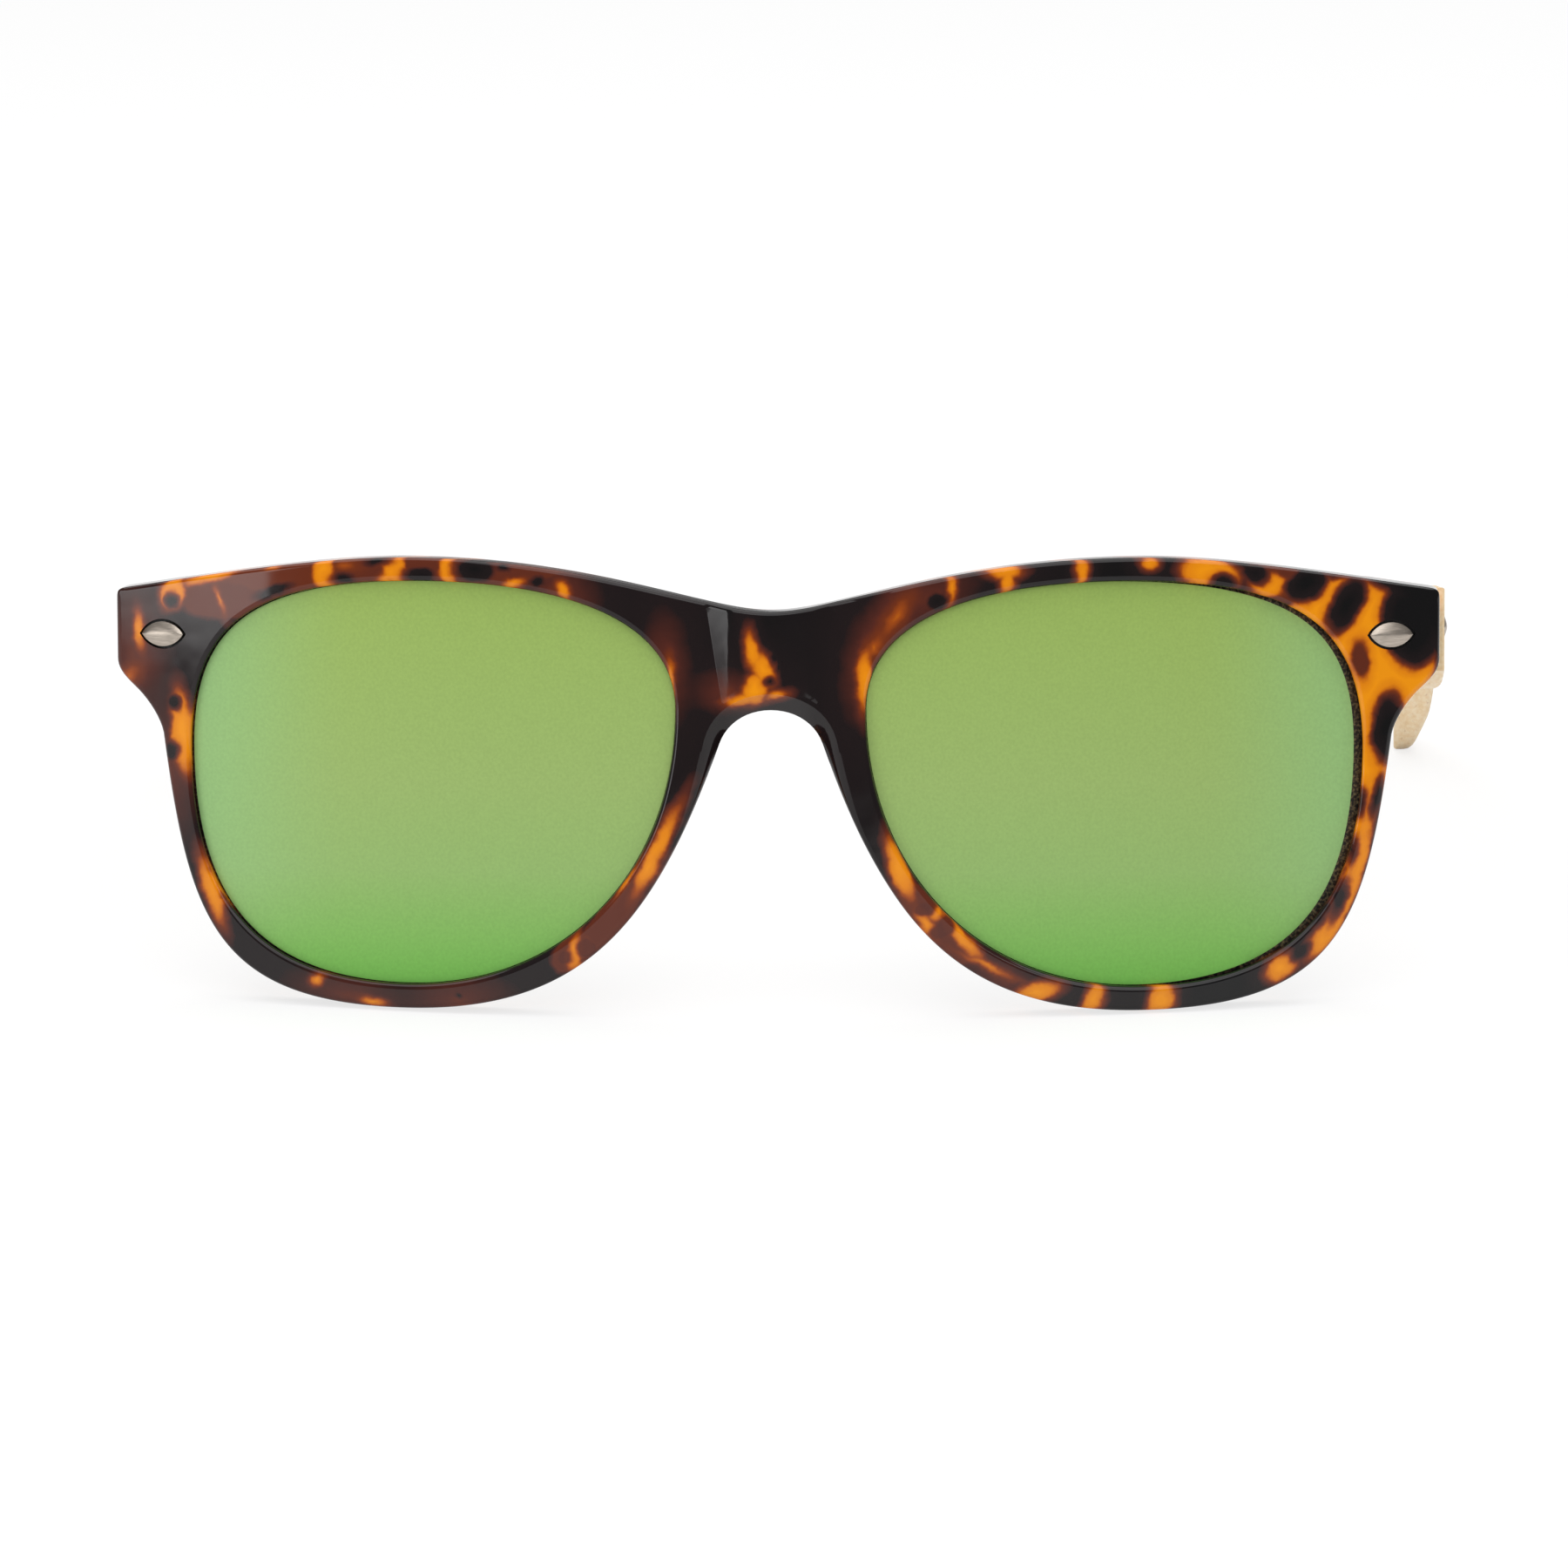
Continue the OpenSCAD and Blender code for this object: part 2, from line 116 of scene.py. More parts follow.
# Landmarks of the front's right half, and its outline clockwise from the bridge's top to the nose arch
brow = at(lens_x + 2.3, brow_z)
chin = at(lens_x + 2.8, chin_z)
corner_top = at(end_x, end_z)
corner_low = at(end_x, end_z - end_h)
shoulder = at(lens_out + rim_side + 0.7, corner_low.y - 6.75)
nose = at(bridge_w / 2 - rim_nose, arch_z - 3.65)
top_fall = 0.165
top_r = 1.7
side_lean = 0.13
nose_lean = 0.36
corner_in = corner_top - top_r * at(1, -top_fall)
corner_out = corner_top - at(0, top_r)
low_out = corner_low + at(0, 1.4)
low_in = corner_low - at(2, 1.77)
end_run = end_x - brow.x
front_curves = [
    (at(0, bridge_z), at(0.19 * brow.x, bridge_z), at(0.47 * brow.x, brow_z), brow),
    (brow, brow + at(0.3 * end_run, 0), corner_in - 0.26 * end_run * at(1, -top_fall), corner_in),
    (corner_in, corner_top, corner_top, corner_out),
    (corner_out, corner_out - at(0, 1), low_out + at(0, 1), low_out),
    (low_out, corner_low + at(0, 0.3), corner_low - at(0.5, 0.44), low_in),
    (low_in, low_in - at(1.3, 1.13), shoulder + at(0.35, 1.75), shoulder),
    (shoulder, shoulder + 0.7 * (chin_z - shoulder.y) * at(side_lean, 1),
     chin + at(0.8 * (shoulder.x - chin.x), 0), chin),
    (chin, chin - at(0.58 * (chin.x - nose.x), 0),
     nose + 0.65 * (chin_z - nose.y) * at(-nose_lean, 1), nose),
    (nose, nose + 2.3 * at(-nose_lean, 1), at(0.46 * nose.x, arch_z), at(0, arch_z)),
]
# Lens opening, clockwise from its top: four curves between its extreme points
lens_top = at(lens_x + 0.03 * half_w, half_h)
lens_side = at(lens_out, 0.15 * half_h)
lens_low = at(lens_x + 0.1 * half_w, -half_h)
lens_nose = at(bridge_w / 2, 0.38 * half_h)
lens_curves = [
    (lens_top, lens_top + at(0.7 * half_w, 0), lens_side + at(0, 0.62 * half_h), lens_side),
    (lens_side, lens_side - at(0, 0.77 * half_h), lens_low + at(0.63 * half_w, 0), lens_low),
    (lens_low, lens_low - at(0.67 * half_w, 0), lens_nose - at(0, 0.77 * half_h), lens_nose),
    (lens_nose, lens_nose + at(0, 0.39 * half_h), lens_top - at(0.68 * half_w, 0), lens_top),
]
lens_spots = outline(lens_curves, spacing=1.0)

# Places of the right hinge and of the joint that the temple's end meets
joint_x = end_x + temple_proud - temple_t
rim_back = wrap_y(joint_x, front_t)
hinge_x = joint_x - hinge_in
hinge_y = rim_back + end_depth
hinge_z = end_z - temple_h / 2 - temple_step

# The right stud: its half sizes, the gap round it, its place and how deep its seat is. The seat's walls and
# floor are painted black as shadow.
stud_half_long = 2.475
stud_half_high = 1.35
stud_line = 0.3
stud_in = 5.3
stud_sink = 0.6
stud_x = end_x - stud_in
stud_z = end_z - end_h / 2 - 0.35
stud_turn = asin(stud_x / wrap_r)


def almond(half_long, half_high, steps):
    """Outline of a stud: two arcs that meet in points left and right, clockwise from the left point."""
    r = (half_long ** 2 + half_high ** 2) / (2 * half_high)
    sweep = asin(half_long / r)
    angles = [sweep * (2 * i / steps - 1) for i in range(steps)]
    upper = [at(r * sin(a), half_high - r + r * cos(a)) for a in angles]
    return upper + [-p for p in upper]


# The bridge has a flat panel, which falls back at both sides to a crease and comes forward again beyond it
crease_from = 3.7
crease_low = 5.2
crease_spread = 0.16
crease_slope = 0.35
crease_soft = 0.5
crease_fade = 8
# Middle and size of the right nose pad
pad_at = nose + at(7, -11.5)
pad_r = 7.5
pad_squash = 0.8


def crease_x(z):
    """The creases spread towards the top of the bridge."""
    return crease_low + crease_spread * (z - arch_z)


def front_point(x, z, depth):
    """A point of the front: the bowed slab, which falls back to the bridge's creases and swells behind
    at the nose pads."""
    past = x - crease_x(z)
    run = max(x - max(past, 0) - crease_from, 0)
    fall = crease_slope * (sqrt(run ** 2 + crease_soft ** 2) - crease_soft)
    hollow = fall * (1 - ease(past / crease_fade))
    reach = sqrt((x - pad_at.x) ** 2 + (pad_squash * (z - pad_at.y)) ** 2) / pad_r
    swell = pad_depth * (1 - reach ** 2) ** 2 if reach < 1 else 0
    behind = depth / front_t
    return Vector((x, wrap_y(x, depth) + (1 - behind) * hollow + behind * swell, z))


def joint_y(x, z):
    """The plane that the temple's end meets."""
    return hinge_y + tan(tilt) * (z - hinge_z) - tan(splay) * (x - hinge_x) / cos(tilt)


def split(spots, part, value, start):
    """Puts a spot where the outline crosses a value of x (part 0) or z (part 1), and gives its number.
    A spot that is close already moves there."""
    for i in range(start, len(spots) - 1):
        one, two = spots[i][0][part], spots[i + 1][0][part]
        if (one - value) * (two - value) <= 0 and one != two:
            t = (value - one) / (two - one)
            crossing = tuple(p.lerp(q, t) for p, q in zip(spots[i], spots[i + 1]))
            if 0.3 < t < 0.7:
                spots.insert(i + 1, crossing)
                return i + 1
            spots[i + round(t)] = crossing
            return i + round(t)


def weave(faces, one, two, closed):
    """Four-sided faces between two rows of points."""
    for i in range(len(one) if closed else len(one) - 1):
        j = (i + 1) % len(one)
        faces.append((one[i], one[j], two[j], two[i]))


def fill(faces, loops, flat, add, gap, wanted=()):
    """Triangles inside the first loop and outside the rest. flat gives a point's place in the plane, add
    makes a point there, gap is the distance between points inside, and wanted lists points to use first."""
    names = [i for loop in loops for i in loop]
    places = [flat(i) for i in names]
    edges = []
    for loop in loops:
        start = len(edges)
        edges += [(start + k, start + (k + 1) % len(loop)) for k in range(len(loop))]
    ends = numpy.array([[*places[i], *places[j]] for i, j in edges])
    rim = ends[:, :2]

    def is_inside(p):
        over = (ends[:, 1] > p[1]) != (ends[:, 3] > p[1])
        x1, y1, x2, y2 = ends[over].T
        return numpy.count_nonzero(x1 + (p[1] - y1) / (y2 - y1) * (x2 - x1) > p[0]) % 2 == 1

    def is_clear(p, others, room):
        return numpy.hypot(*(others - numpy.array(p)).T).min() > room

    left, low = rim.min(0)
    right, high = rim.max(0)
    rim_room = 0.25
    row_gap = 0.87 * gap
    taken = [p for p in wanted if is_inside(p) and is_clear(p, rim, rim_room)]
    crowd = numpy.array([*rim, *taken])
    for row in range(int((high - low) / row_gap) + 1):
        for column in range(int((right - left) / gap) + 1):
            p = at(left + (column + row % 2 / 2) * gap, low + row_gap * row)
            if is_inside(p) and is_clear(p, crowd, 0.6 * gap):
                taken.append(p)
    for p in taken:
        names.append(add(*p))
        places.append(p)
    spots, _, triangles, origin, _, _ = delaunay_2d_cdt(places, edges, [], 0, 1e-6)
    for triangle in triangles:
        middle = sum((spots[k] for k in triangle), at(0, 0)) / 3
        if is_inside(middle):
            faces.append(tuple(names[origin[k][0]] for k in triangle))


def sink_seat(faces, line, add, face_level, floor_level):
    """Walls and floor of a stud's seat, under a line of points. Gives its rim and its faces' numbers."""
    rim = [add(*p, face_level) for p in line]
    floor = [add(*p, floor_level) for p in line]
    first = len(faces)
    weave(faces, rim, floor, True)
    faces.append(tuple(floor))
    return rim, range(first, len(faces))


front_points = []
front_faces = []


def add_front(x, z, depth):
    """Adds a point of the bowed front and gives its number."""
    front_points.append(front_point(x, z, depth))
    return len(front_points) - 1


def add_behind(x, y, z):
    """Adds a point of the end piece's return and gives its number."""
    front_points.append(Vector((x, y, z)))
    return len(front_points) - 1


def flat_front(i):
    return at(front_points[i].x, front_points[i].z)


# Outline of the right half, with spots where the end piece's return begins and ends. The return is the block
# that runs back to the temple, and the web is the stretch of rim under its fillet.
half = outline(front_curves, spacing=0.7) + [(at(0, arch_z), at(0, -1))]
web_w = 3.6
web_x = joint_x - web_w
return_low = hinge_z - temple_h / 2
web_at = split(half, 0, web_x, 0)
joint_at = split(half, 0, joint_x, web_at)
return_low_at = split(half, 1, return_low, joint_at)
return_stretch = range(web_at, return_low_at + 1)

# Edge of the outline from the front face round to the back: softened all round, sharper at the end piece's
# corner, and cut wide and flat under the nose arch. The first row lies in the face and keeps it flat up to
# the bend, and so does the first row of the back's bend for the edge.
edge_r = 0.45
corner_r = 0.2
back_r = 0.6
arch_cut = 1.45
cut_from = -6
face_hold = 0.25
back_hold = 0.3
bend_steps = 6
edge_rows = []
for k in range(-1, bend_steps + 1):
    held = face_hold if k < 0 else 0
    bent = max(k, 0) / bend_steps
    turn = bent * pi / 2
    row = []
    for spot, out in half:
        beside_nose = spot.y < arch_z + 0.2 and spot.x < bridge_w / 2
        cut = ease((spot.y - cut_from) / (arch_z - cut_from)) if beside_nose else 0
        size = min(edge_r, corner_r + 0.2 * (spot - corner_top).length) + arch_cut * cut
        inset = size * ((1 - cut) * (1 - sin(turn)) + cut * (1 - bent) + held)
        depth = size * ((1 - cut) * (1 - cos(turn)) + cut * bent)
        p = spot - inset * out
        row.append(add_front(p.x, p.y, depth))
    edge_rows.append(row)
for k in range(-1, bend_steps + 1):
    held = back_hold if k < 0 else 0
    turn = max(k, 0) / bend_steps * pi / 2
    row = []
    for i, (spot, out) in enumerate(half):
        away = web_x - spot.x if i < web_at else return_low - spot.y
        size = 0 if i in return_stretch else min(back_r, 0.7 * away)
        p = spot - size * (1 - cos(turn)) * out
        row.append(add_front(p.x, p.y, front_t - size * (1 - sin(turn)) - held))
    edge_rows.append(row)
for one, two in zip(edge_rows, edge_rows[1:]):
    weave(front_faces, one, two, False)

# Edge of the lens opening, softened in front and behind
opening_r = 0.5
opening_back_r = 0.3
opening = []
for held, turn in ((face_hold, 0), (0, 0), (0, pi / 8), (0, pi / 4), (0, 3 * pi / 8), (0, pi / 2)):
    inset = opening_r * (1 - sin(turn) + held)
    depth = opening_r * (1 - cos(turn))
    opening.append([add_front(*(p + inset * out), depth) for p, out in lens_spots])
for turn in (0, pi / 4, pi / 2):
    inset = opening_back_r * (1 - cos(turn))
    depth = front_t - opening_back_r * (1 - sin(turn))
    opening.append([add_front(*(p + inset * out), depth) for p, out in lens_spots])
for one, two in zip(opening, opening[1:]):
    weave(front_faces, one, two, True)

# Seat of the stud, as wide as the stud and the gap round it, its walls and floor in a painted black shadow
seat_almond = almond(stud_half_long + stud_line, stud_half_high + stud_line, steps=16)
seat_line = [at(stud_x + p.x * cos(stud_turn), stud_z + p.y) for p in seat_almond]
seat_rim, shadowed_seat_faces = sink_seat(front_faces, seat_line, add_front, 0, stud_sink)

# Front and back faces, with points down the middle where the other half joins, and rows of points along
# the crease where the face bends
middle_heights = [arch_z + 3 + 0.9 * i for i in range(7)]
front_middle = [add_front(0, z, 0) for z in middle_heights]
back_middle = [add_front(0, z, front_t) for z in middle_heights]
crease_columns = (-4.4, -3.6, -3, -2.6, -2.2, -1.7, -1.2, -0.6, -0.15, 0, 0.15,
                  0.6, 1.2, 1.8, 2.6, 3.4, 4.2, 5.2, 6.2, 7.2)
crease_points = []
for i in range(26):
    z = arch_z + 0.5 * i
    crease_points += [at(crease_x(z) + past, z) for past in crease_columns]
fill(front_faces, [edge_rows[0] + front_middle, opening[0], seat_rim], flat_front,
     lambda x, z: add_front(x, z, 0), gap=1.0, wanted=crease_points)
low_back = [add_front(half[k][0].x, return_low, front_t) for k in range(web_at, joint_at + 1)]
back_ring = edge_rows[-1][:web_at + 1] + low_back + edge_rows[-1][return_low_at:]
fill(front_faces, [back_ring + back_middle, opening[-1]], flat_front,
     lambda x, z: add_front(x, z, front_t), gap=1.4)

# Return of the end piece: it runs back from the face to the joint, with a fillet on its inner side, and its
# top steps down to the temple
fillet = 1.235
top_step = 0.7


def fillet_y(x):
    """How far back the fillet lies: it rises from the web to the joint's side."""
    rise = min(max((x - web_x) / (joint_x - web_x), 0), 1)
    return wrap_y(x, front_t) + fillet * rise ** 2.5


walls = []
for k in return_stretch:
    x, z = half[k][0]
    near = front_points[edge_rows[-1][k]].y
    far = joint_y(x, z)
    stops = [near + (fillet_y(x) - near) * t for t in (0.5, 1)]
    if k >= joint_at:
        stops += [stops[1] + (far - stops[1]) * t for t in (0.5, 1)]
    fall = top_step * (z - return_low) / (end_z - return_low)
    wall = [add_behind(x, y, z - fall * (y - near) / (far - near)) for y in stops]
    walls.append([edge_rows[-1][k]] + wall)
for one, two in zip(walls, walls[1:]):
    shared = min(len(one), len(two))
    weave(front_faces, one[:shared], two[:shared], False)
low_fillet = [add_behind(half[k][0].x, fillet_y(half[k][0].x), return_low)
              for k in range(web_at, joint_at + 1)]
low_joint = add_behind(joint_x, joint_y(joint_x, return_low), return_low)
fillet_count = joint_at - web_at + 1
weave(front_faces, [wall[2] for wall in walls[:fillet_count]], low_fillet, False)
front_faces.append((*walls[fillet_count - 1][2:], low_joint, low_fillet[-1]))
front_faces.append((*[wall[-1] for wall in walls[fillet_count - 1:]], low_joint))
front_faces.append((*walls[-1], low_joint, *reversed(low_fillet), *low_back[1:]))

# The left half mirrors the right
# The seat's faces take the second material, a painted black shadow
front_coats = 2 * [1 if i in shadowed_seat_faces else 0 for i in range(len(front_faces))]
count = len(front_points)
front_points += [Vector((-p.x, p.y, p.z)) for p in front_points]
front_faces += [tuple(count + i for i in reversed(face)) for face in front_faces]

# The front stands leant back in the row frame, as its right hinge places it
joints = {joint["name"]: joint for joint in frame["joints"]}
right_hinge = Vector(joints["right_temple_fold"]["pos_m"])
hinge_axis = Vector(joints["right_temple_fold"]["axis"])
lean = atan2(hinge_axis.y, hinge_axis.z) - tilt
MM = 0.001
leaning = Matrix.Rotation(-lean, 4, "X") @ Matrix.Scale(MM, 4)
front_place = Matrix.Translation(right_hinge - leaning @ Vector((hinge_x, hinge_y, hinge_z))) @ leaning


def linear(code):
    """A colour written as sRGB hex, as the linear colour that a shader takes."""
    parts = [int(code[i:i + 2], 16) / 255 for i in (1, 3, 5)]
    return [c / 12.92 if c <= 0.04045 else ((c + 0.055) / 1.055) ** 2.4 for c in parts] + [1.0]


def add_node(tree, kind, inputs=(), stops=(), **settings):
    """Adds one shader node. inputs gives a socket's name or number with a value or an output to link,
    and stops gives a ramp's places and colours."""
    made = tree.nodes.new("ShaderNode" + kind)
    for name, value in settings.items():
        setattr(made, name, value)
    for i, (place, colour) in enumerate(stops):
        ramp = made.color_ramp.elements
        stop = ramp[i] if i < 2 else ramp.new(place)
        stop.position = place
        stop.color = colour
    for socket, value in dict(inputs).items():
        if isinstance(value, bpy.types.NodeSocket):
            tree.links.new(value, made.inputs[socket])
        else:
            made.inputs[socket].default_value = value
    return made


def new_material(name):
    """A material with its surface node and its node tree."""
    made = bpy.data.materials.new(name)
    made.use_nodes = True
    return made, made.node_tree, made.node_tree.nodes["Principled BSDF"]


def work_surface(tree, surface, marks, smooth, rough, relief, tones=()):
    """Lets marks, a pattern from 0 to 1, set how rough a surface is and raise it by up to relief
    millimetres. Where tones gives a ramp's places and colours, the marks colour the surface too."""
    gloss = add_node(tree, "MapRange", {"Value": marks, "From Min": 0.3, "From Max": 0.7,
                                        "To Min": smooth, "To Max": rough})
    tree.links.new(gloss.outputs[0], surface.inputs["Roughness"])
    raised = add_node(tree, "Bump", {"Height": marks, "Distance": relief * MM})
    tree.links.new(raised.outputs[0], surface.inputs["Normal"])
    if tones:
        colour = add_node(tree, "ValToRGB", {0: marks}, stops=tones)
        tree.links.new(colour.outputs[0], surface.inputs["Base Color"])


scene = bpy.context.scene


def make_piece(name, points, faces, place, materials, body, nodes, coats=None, sheet=None):
    """One piece from points in millimetres in its own frame, put in the row frame in metres. coats gives
    each face's material, and sheet a point's place in the pattern. Edges that turn past sharp stay sharp."""
    sharp = radians(32)
    weld = 0.003
    mesh = bpy.data.meshes.new(name)
    mesh.from_pydata([tuple(p) for p in points], [], faces)
    if coats:
        mesh.polygons.foreach_set("material_index", coats)
    form = bmesh.new()
    form.from_mesh(mesh)
    bmesh.ops.remove_doubles(form, verts=form.verts, dist=weld)
    bmesh.ops.dissolve_degenerate(form, dist=weld, edges=form.edges)
    bmesh.ops.recalc_face_normals(form, faces=form.faces)
    for face in form.faces:
        face.smooth = True
    for edge in form.edges:
        edge.smooth = edge.calc_face_angle(0) < sharp
    form.to_mesh(mesh)
    form.free()
    pattern = mesh.attributes.new("pattern", "FLOAT_VECTOR", "POINT")
    for spot, vertex in zip(pattern.data, mesh.vertices):
        spot.vector = sheet(vertex.co) if sheet else vertex.co
    mesh.transform(place)
    if place.determinant() < 0:
        mesh.flip_normals()
    for material in materials:
        mesh.materials.append(material)
    piece = bpy.data.objects.new(name, mesh)
    scene.collection.objects.link(piece)
    even = piece.modifiers.new("even shading", "WEIGHTED_NORMAL")
    even.keep_sharp = True
    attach(piece, body)
    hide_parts(*nodes)


# Tortoiseshell plastic, mixed from amber and brown and polished: amber clouds in a near-black brown, with a
# red-brown line where they meet, and stretches, glows and spots where the red-brown stays. Each cloud is x,
# z, half length, half width, turn in degrees, and for amber and glows how far it stays under the surface.
# A glow has no edge of its own and fades out.
brown_clouds = [
    (-41.5, 23.2, 17.0, 2.4, 2), (-57.5, 21.2, 7.0, 3.0, 10), (-17.3, -14.2, 4.0, 1.2, 52),
    (-21.6, -18.2, 2.0, 1.4, 40), (17.5, -14.6, 4.5, 1.4, -52), (54.5, 21.8, 2.6, 2.2, -10),
]
glows = [
    (-70.8, 13.5, 9.0, 5.0, 90, 0.3), (-22.8, 20.9, 4.0, 3.0, -20, 0.2), (-66.6, 1.0, 9.0, 3.4, 95, 0.3),
    (-11.3, 13.0, 6.0, 2.2, 97, 0.25), (-4.6, 10.3, 4.2, 2.4, 0, 0.25), (-34.3, -23.6, 7.0, 3.4, 3, 0.3),
    (-46.5, -23.4, 8.0, 3.0, -10, 0.3), (24.8, -20.8, 6.5, 2.6, -30, 0.3), (10.4, 12.6, 6.5, 2.6, 82, 0.3),
    (17.5, 20.6, 6.0, 3.4, 28, 0.3), (13.7, 18.4, 4.4, 1.5, 58, -0.05), (11.5, 15.0, 2.6, 1.2, 65, -0.05),
    (-46.4, 23.6, 2.6, 1.5, 0, 0.0), (-71.2, 11.0, 2.8, 1.6, 40, -0.05),
]
amber_clouds = [
    (-69.9, 16.0, 2.3, 0.7, 95, 0.15), (-66.0, 20.2, 1.9, 1.4, 60, 0.1),
    (-61.8, 22.2, 2.9, 0.6, 12, 0), (-60.6, 19.6, 1.8, 0.4, 107, 0.2), (-54.9, 23.3, 1.1, 0.4, 8, 0.2),
    (-48.9, 22.8, 1.8, 1.3, 90, 0), (-41.0, 23.3, 1.7, 1.2, 80, 0), (-42.0, 22.3, 1.2, 0.6, 20, 0.1),
    (-35.1, 23.3, 1.6, 0.9, 90, 0), (-27.9, 21.9, 1.7, 0.7, 15, 0.2), (-22.4, 21.3, 1.6, 1.0, 115, 0.4),
    (-65.1, 5.0, 4.4, 1.2, 95, 0), (-11.0, 12.0, 2.7, 0.6, 93, 0.25),
    (-1.9, 14.7, 1.9, 0.7, 100, 0), (-0.7, 12.8, 1.9, 1.0, 110, 0), (-1.7, 10.6, 1.6, 1.3, 70, 0),
    (-2.9, 9.6, 2.3, 0.7, 10, 0.1), (0.6, 9.9, 1.0, 0.4, 15, 0),
    (10.5, 11.6, 3.2, 0.8, 86, 0.05),
    (19.6, 21.6, 1.6, 0.4, 85, 0), (25.3, 23.4, 1.7, 0.8, 0, 0), (25.6, 22.3, 1.3, 0.7, 90, 0),
    (33.6, 23.1, 1.6, 0.6, 88, 0), (40.9, 24.0, 0.9, 0.7, 0, 0), (47.5, 22.8, 3.1, 1.6, 172, 0),
    (53.8, 21.3, 1.9, 1.3, 0, 0), (59.5, 20.1, 1.9, 1.3, 60, 0), (61.7, 17.6, 5.7, 4.3, 0, 0),
    (66.1, 11.3, 5.9, 5.5, 0, 0), (65.1, 4.2, 6.7, 2.9, 95, 0), (65.1, 0.9, 2.1, 1.3, 85, 0),
    (64.3, -4.6, 3.2, 1.0, 72, 0), (63.5, -9.4, 5.0, 1.0, 75, 0), (62.2, -13.4, 2.1, 0.9, 70, 0),
    (60.3, -16.9, 3.1, 1.1, 52, 0), (55.3, -20.4, 1.8, 1.2, 35, 0), (42.3, -23.5, 1.8, 1.4, 70, 0),
    (34.9, -23.4, 1.7, 1.0, 65, 0), (28.7, -22.5, 2.4, 1.0, 12, 0), (23.4, -19.5, 2.0, 0.25, -26, 0),
    (20.5, -16.2, 3.0, 0.7, -50, 0), (16.8, -14.9, 1.6, 0.5, -56, 0), (17.9, -13.8, 0.9, 0.6, 40, 0),
    (14.0, -8.8, 3.3, 1.0, -72, 0), (-12.4, -6.9, 4.8, 0.7, 63, 0), (-13.2, -8.7, 2.3, 0.9, 60, 0),
    (-15.8, -10.2, 1.5, 0.3, 58, 0), (-21.4, -18.3, 2.0, 0.7, 80, 0.05),
    (-61.9, -12.5, 3.5, 0.8, -72, 0), (-50.1, -21.8, 1.1, 0.8, 30, 0.3), (-43.8, -24.1, 1.4, 0.5, -12, 0.1),
    (-33.8, -24.4, 1.2, 0.3, 5, 0.2),
]
brown_spots = [
    (63.8, 13.1, 2.0, 1.0, 95), (16.5, -13.3, 1.2, 0.9, 0), (18.6, -15.4, 1.6, 1.1, 40),
    (-22.5, -18.7, 0.9, 0.8, 0), (-20.0, -17.7, 1.3, 1.1, 90),
]
dark_clouds = [
    (-66.1, 19.3, 1.1, 1.0, 45), (-66.1, 8.1, 1.1, 1.1, 0), (-66.5, 2.7, 1.5, 1.1, 90),
    (-54.6, 20.7, 3.6, 1.0, 17), (-46.4, 22.1, 1.8, 0.9, 0), (-43.1, 24.2, 2.0, 0.8, 0),
    (-38.2, 22.6, 2.2, 1.3, 0), (-32.1, 23.3, 2.6, 1.7, 0), (-25.3, 22.1, 1.4, 1.0, 0),
    (-29.0, 23.6, 1.6, 0.8, -5), (-34.2, -23.0, 0.9, 0.7, 0),
    (0.1, 11.4, 0.9, 0.7, 0), (0.5, 14.0, 1.1, 0.9, 90), (0.9, 13.0, 1.2, 0.7, 100),
    (57.9, 21.5, 2.8, 2.1, 35), (62.3, 19.2, 3.7, 1.9, 62), (69.4, 16.9, 5.1, 3.5, 100),
    (71.3, 18.3, 3.8, 2.4, 90), (66.9, 5.6, 4.1, 2.1, 85), (64.0, -2.6, 1.7, 0.7, 88),
    (63.1, -7.6, 1.7, 0.6, 80), (61.6, -13.1, 2.8, 0.9, 70), (65.8, -2.0, 2.7, 0.9, 80),
    (57.5, -18.6, 1.5, 1.1, 40), (18.0, 20.1, 1.6, 1.4, 0), (49.0, 21.7, 1.8, 1.1, 0),
    (52.3, 22.7, 1.8, 1.4, -40),
]
tortoiseshell, tree, surface = new_material("tortoiseshell plastic")
sheet_place = add_node(tree, "Attribute", attribute_name="pattern").outputs["Vector"]
# Two stirs, of swirls a few millimetres and under a millimetre across, make the clouds' edges ragged
stirred = sheet_place
for swirl, push in ((2.4, 0.9), (0.7, 0.3)):
    stir = add_node(tree, "TexNoise", {"Vector": stirred, "Scale": 1 / swirl, "Detail": 1.0})
    both_ways = add_node(tree, "VectorMath", {0: stir.outputs["Color"], 1: (0.5, 0.5, 0.5)},
                         operation="SUBTRACT")
    stirred = add_node(tree, "VectorMath", {0: both_ways.outputs[0], 1: (push, push, 0), 2: stirred},
                       operation="MULTIPLY_ADD").outputs[0]
flat_sheet = add_node(tree, "VectorMath", {0: stirred, 1: (1, 1, 0)}, operation="MULTIPLY").outputs[0]
# The field is below nought in amber and grows into the brown and the dark. Behind the face, where the photo
# shows nothing, clouds of the same size lie by chance.
cloud_size = 7
full_amber = -1.0
full_dark = 2.0
chance = add_node(tree, "TexNoise", {"Vector": stirred, "Scale": 1 / cloud_size, "Detail": 2.0})
random_field = add_node(tree, "MapRange", {"Value": chance.outputs["Fac"], "From Min": 0.42, "From Max": 0.6,
                                           "To Min": full_amber, "To Max": 2.2})
behind = add_node(tree, "SeparateXYZ", {0: stirred})
on_back = add_node(tree, "MapRange", {"Value": behind.outputs[2], "From Min": 2.0, "From Max": 4.0})
field = add_node(tree, "Mix", {"Factor": on_back.outputs[0], "A": full_dark,
                               "B": random_field.outputs[0]}).outputs[0]
brown_level = 0.3
glow_slope = 0.42
blend = 0.3
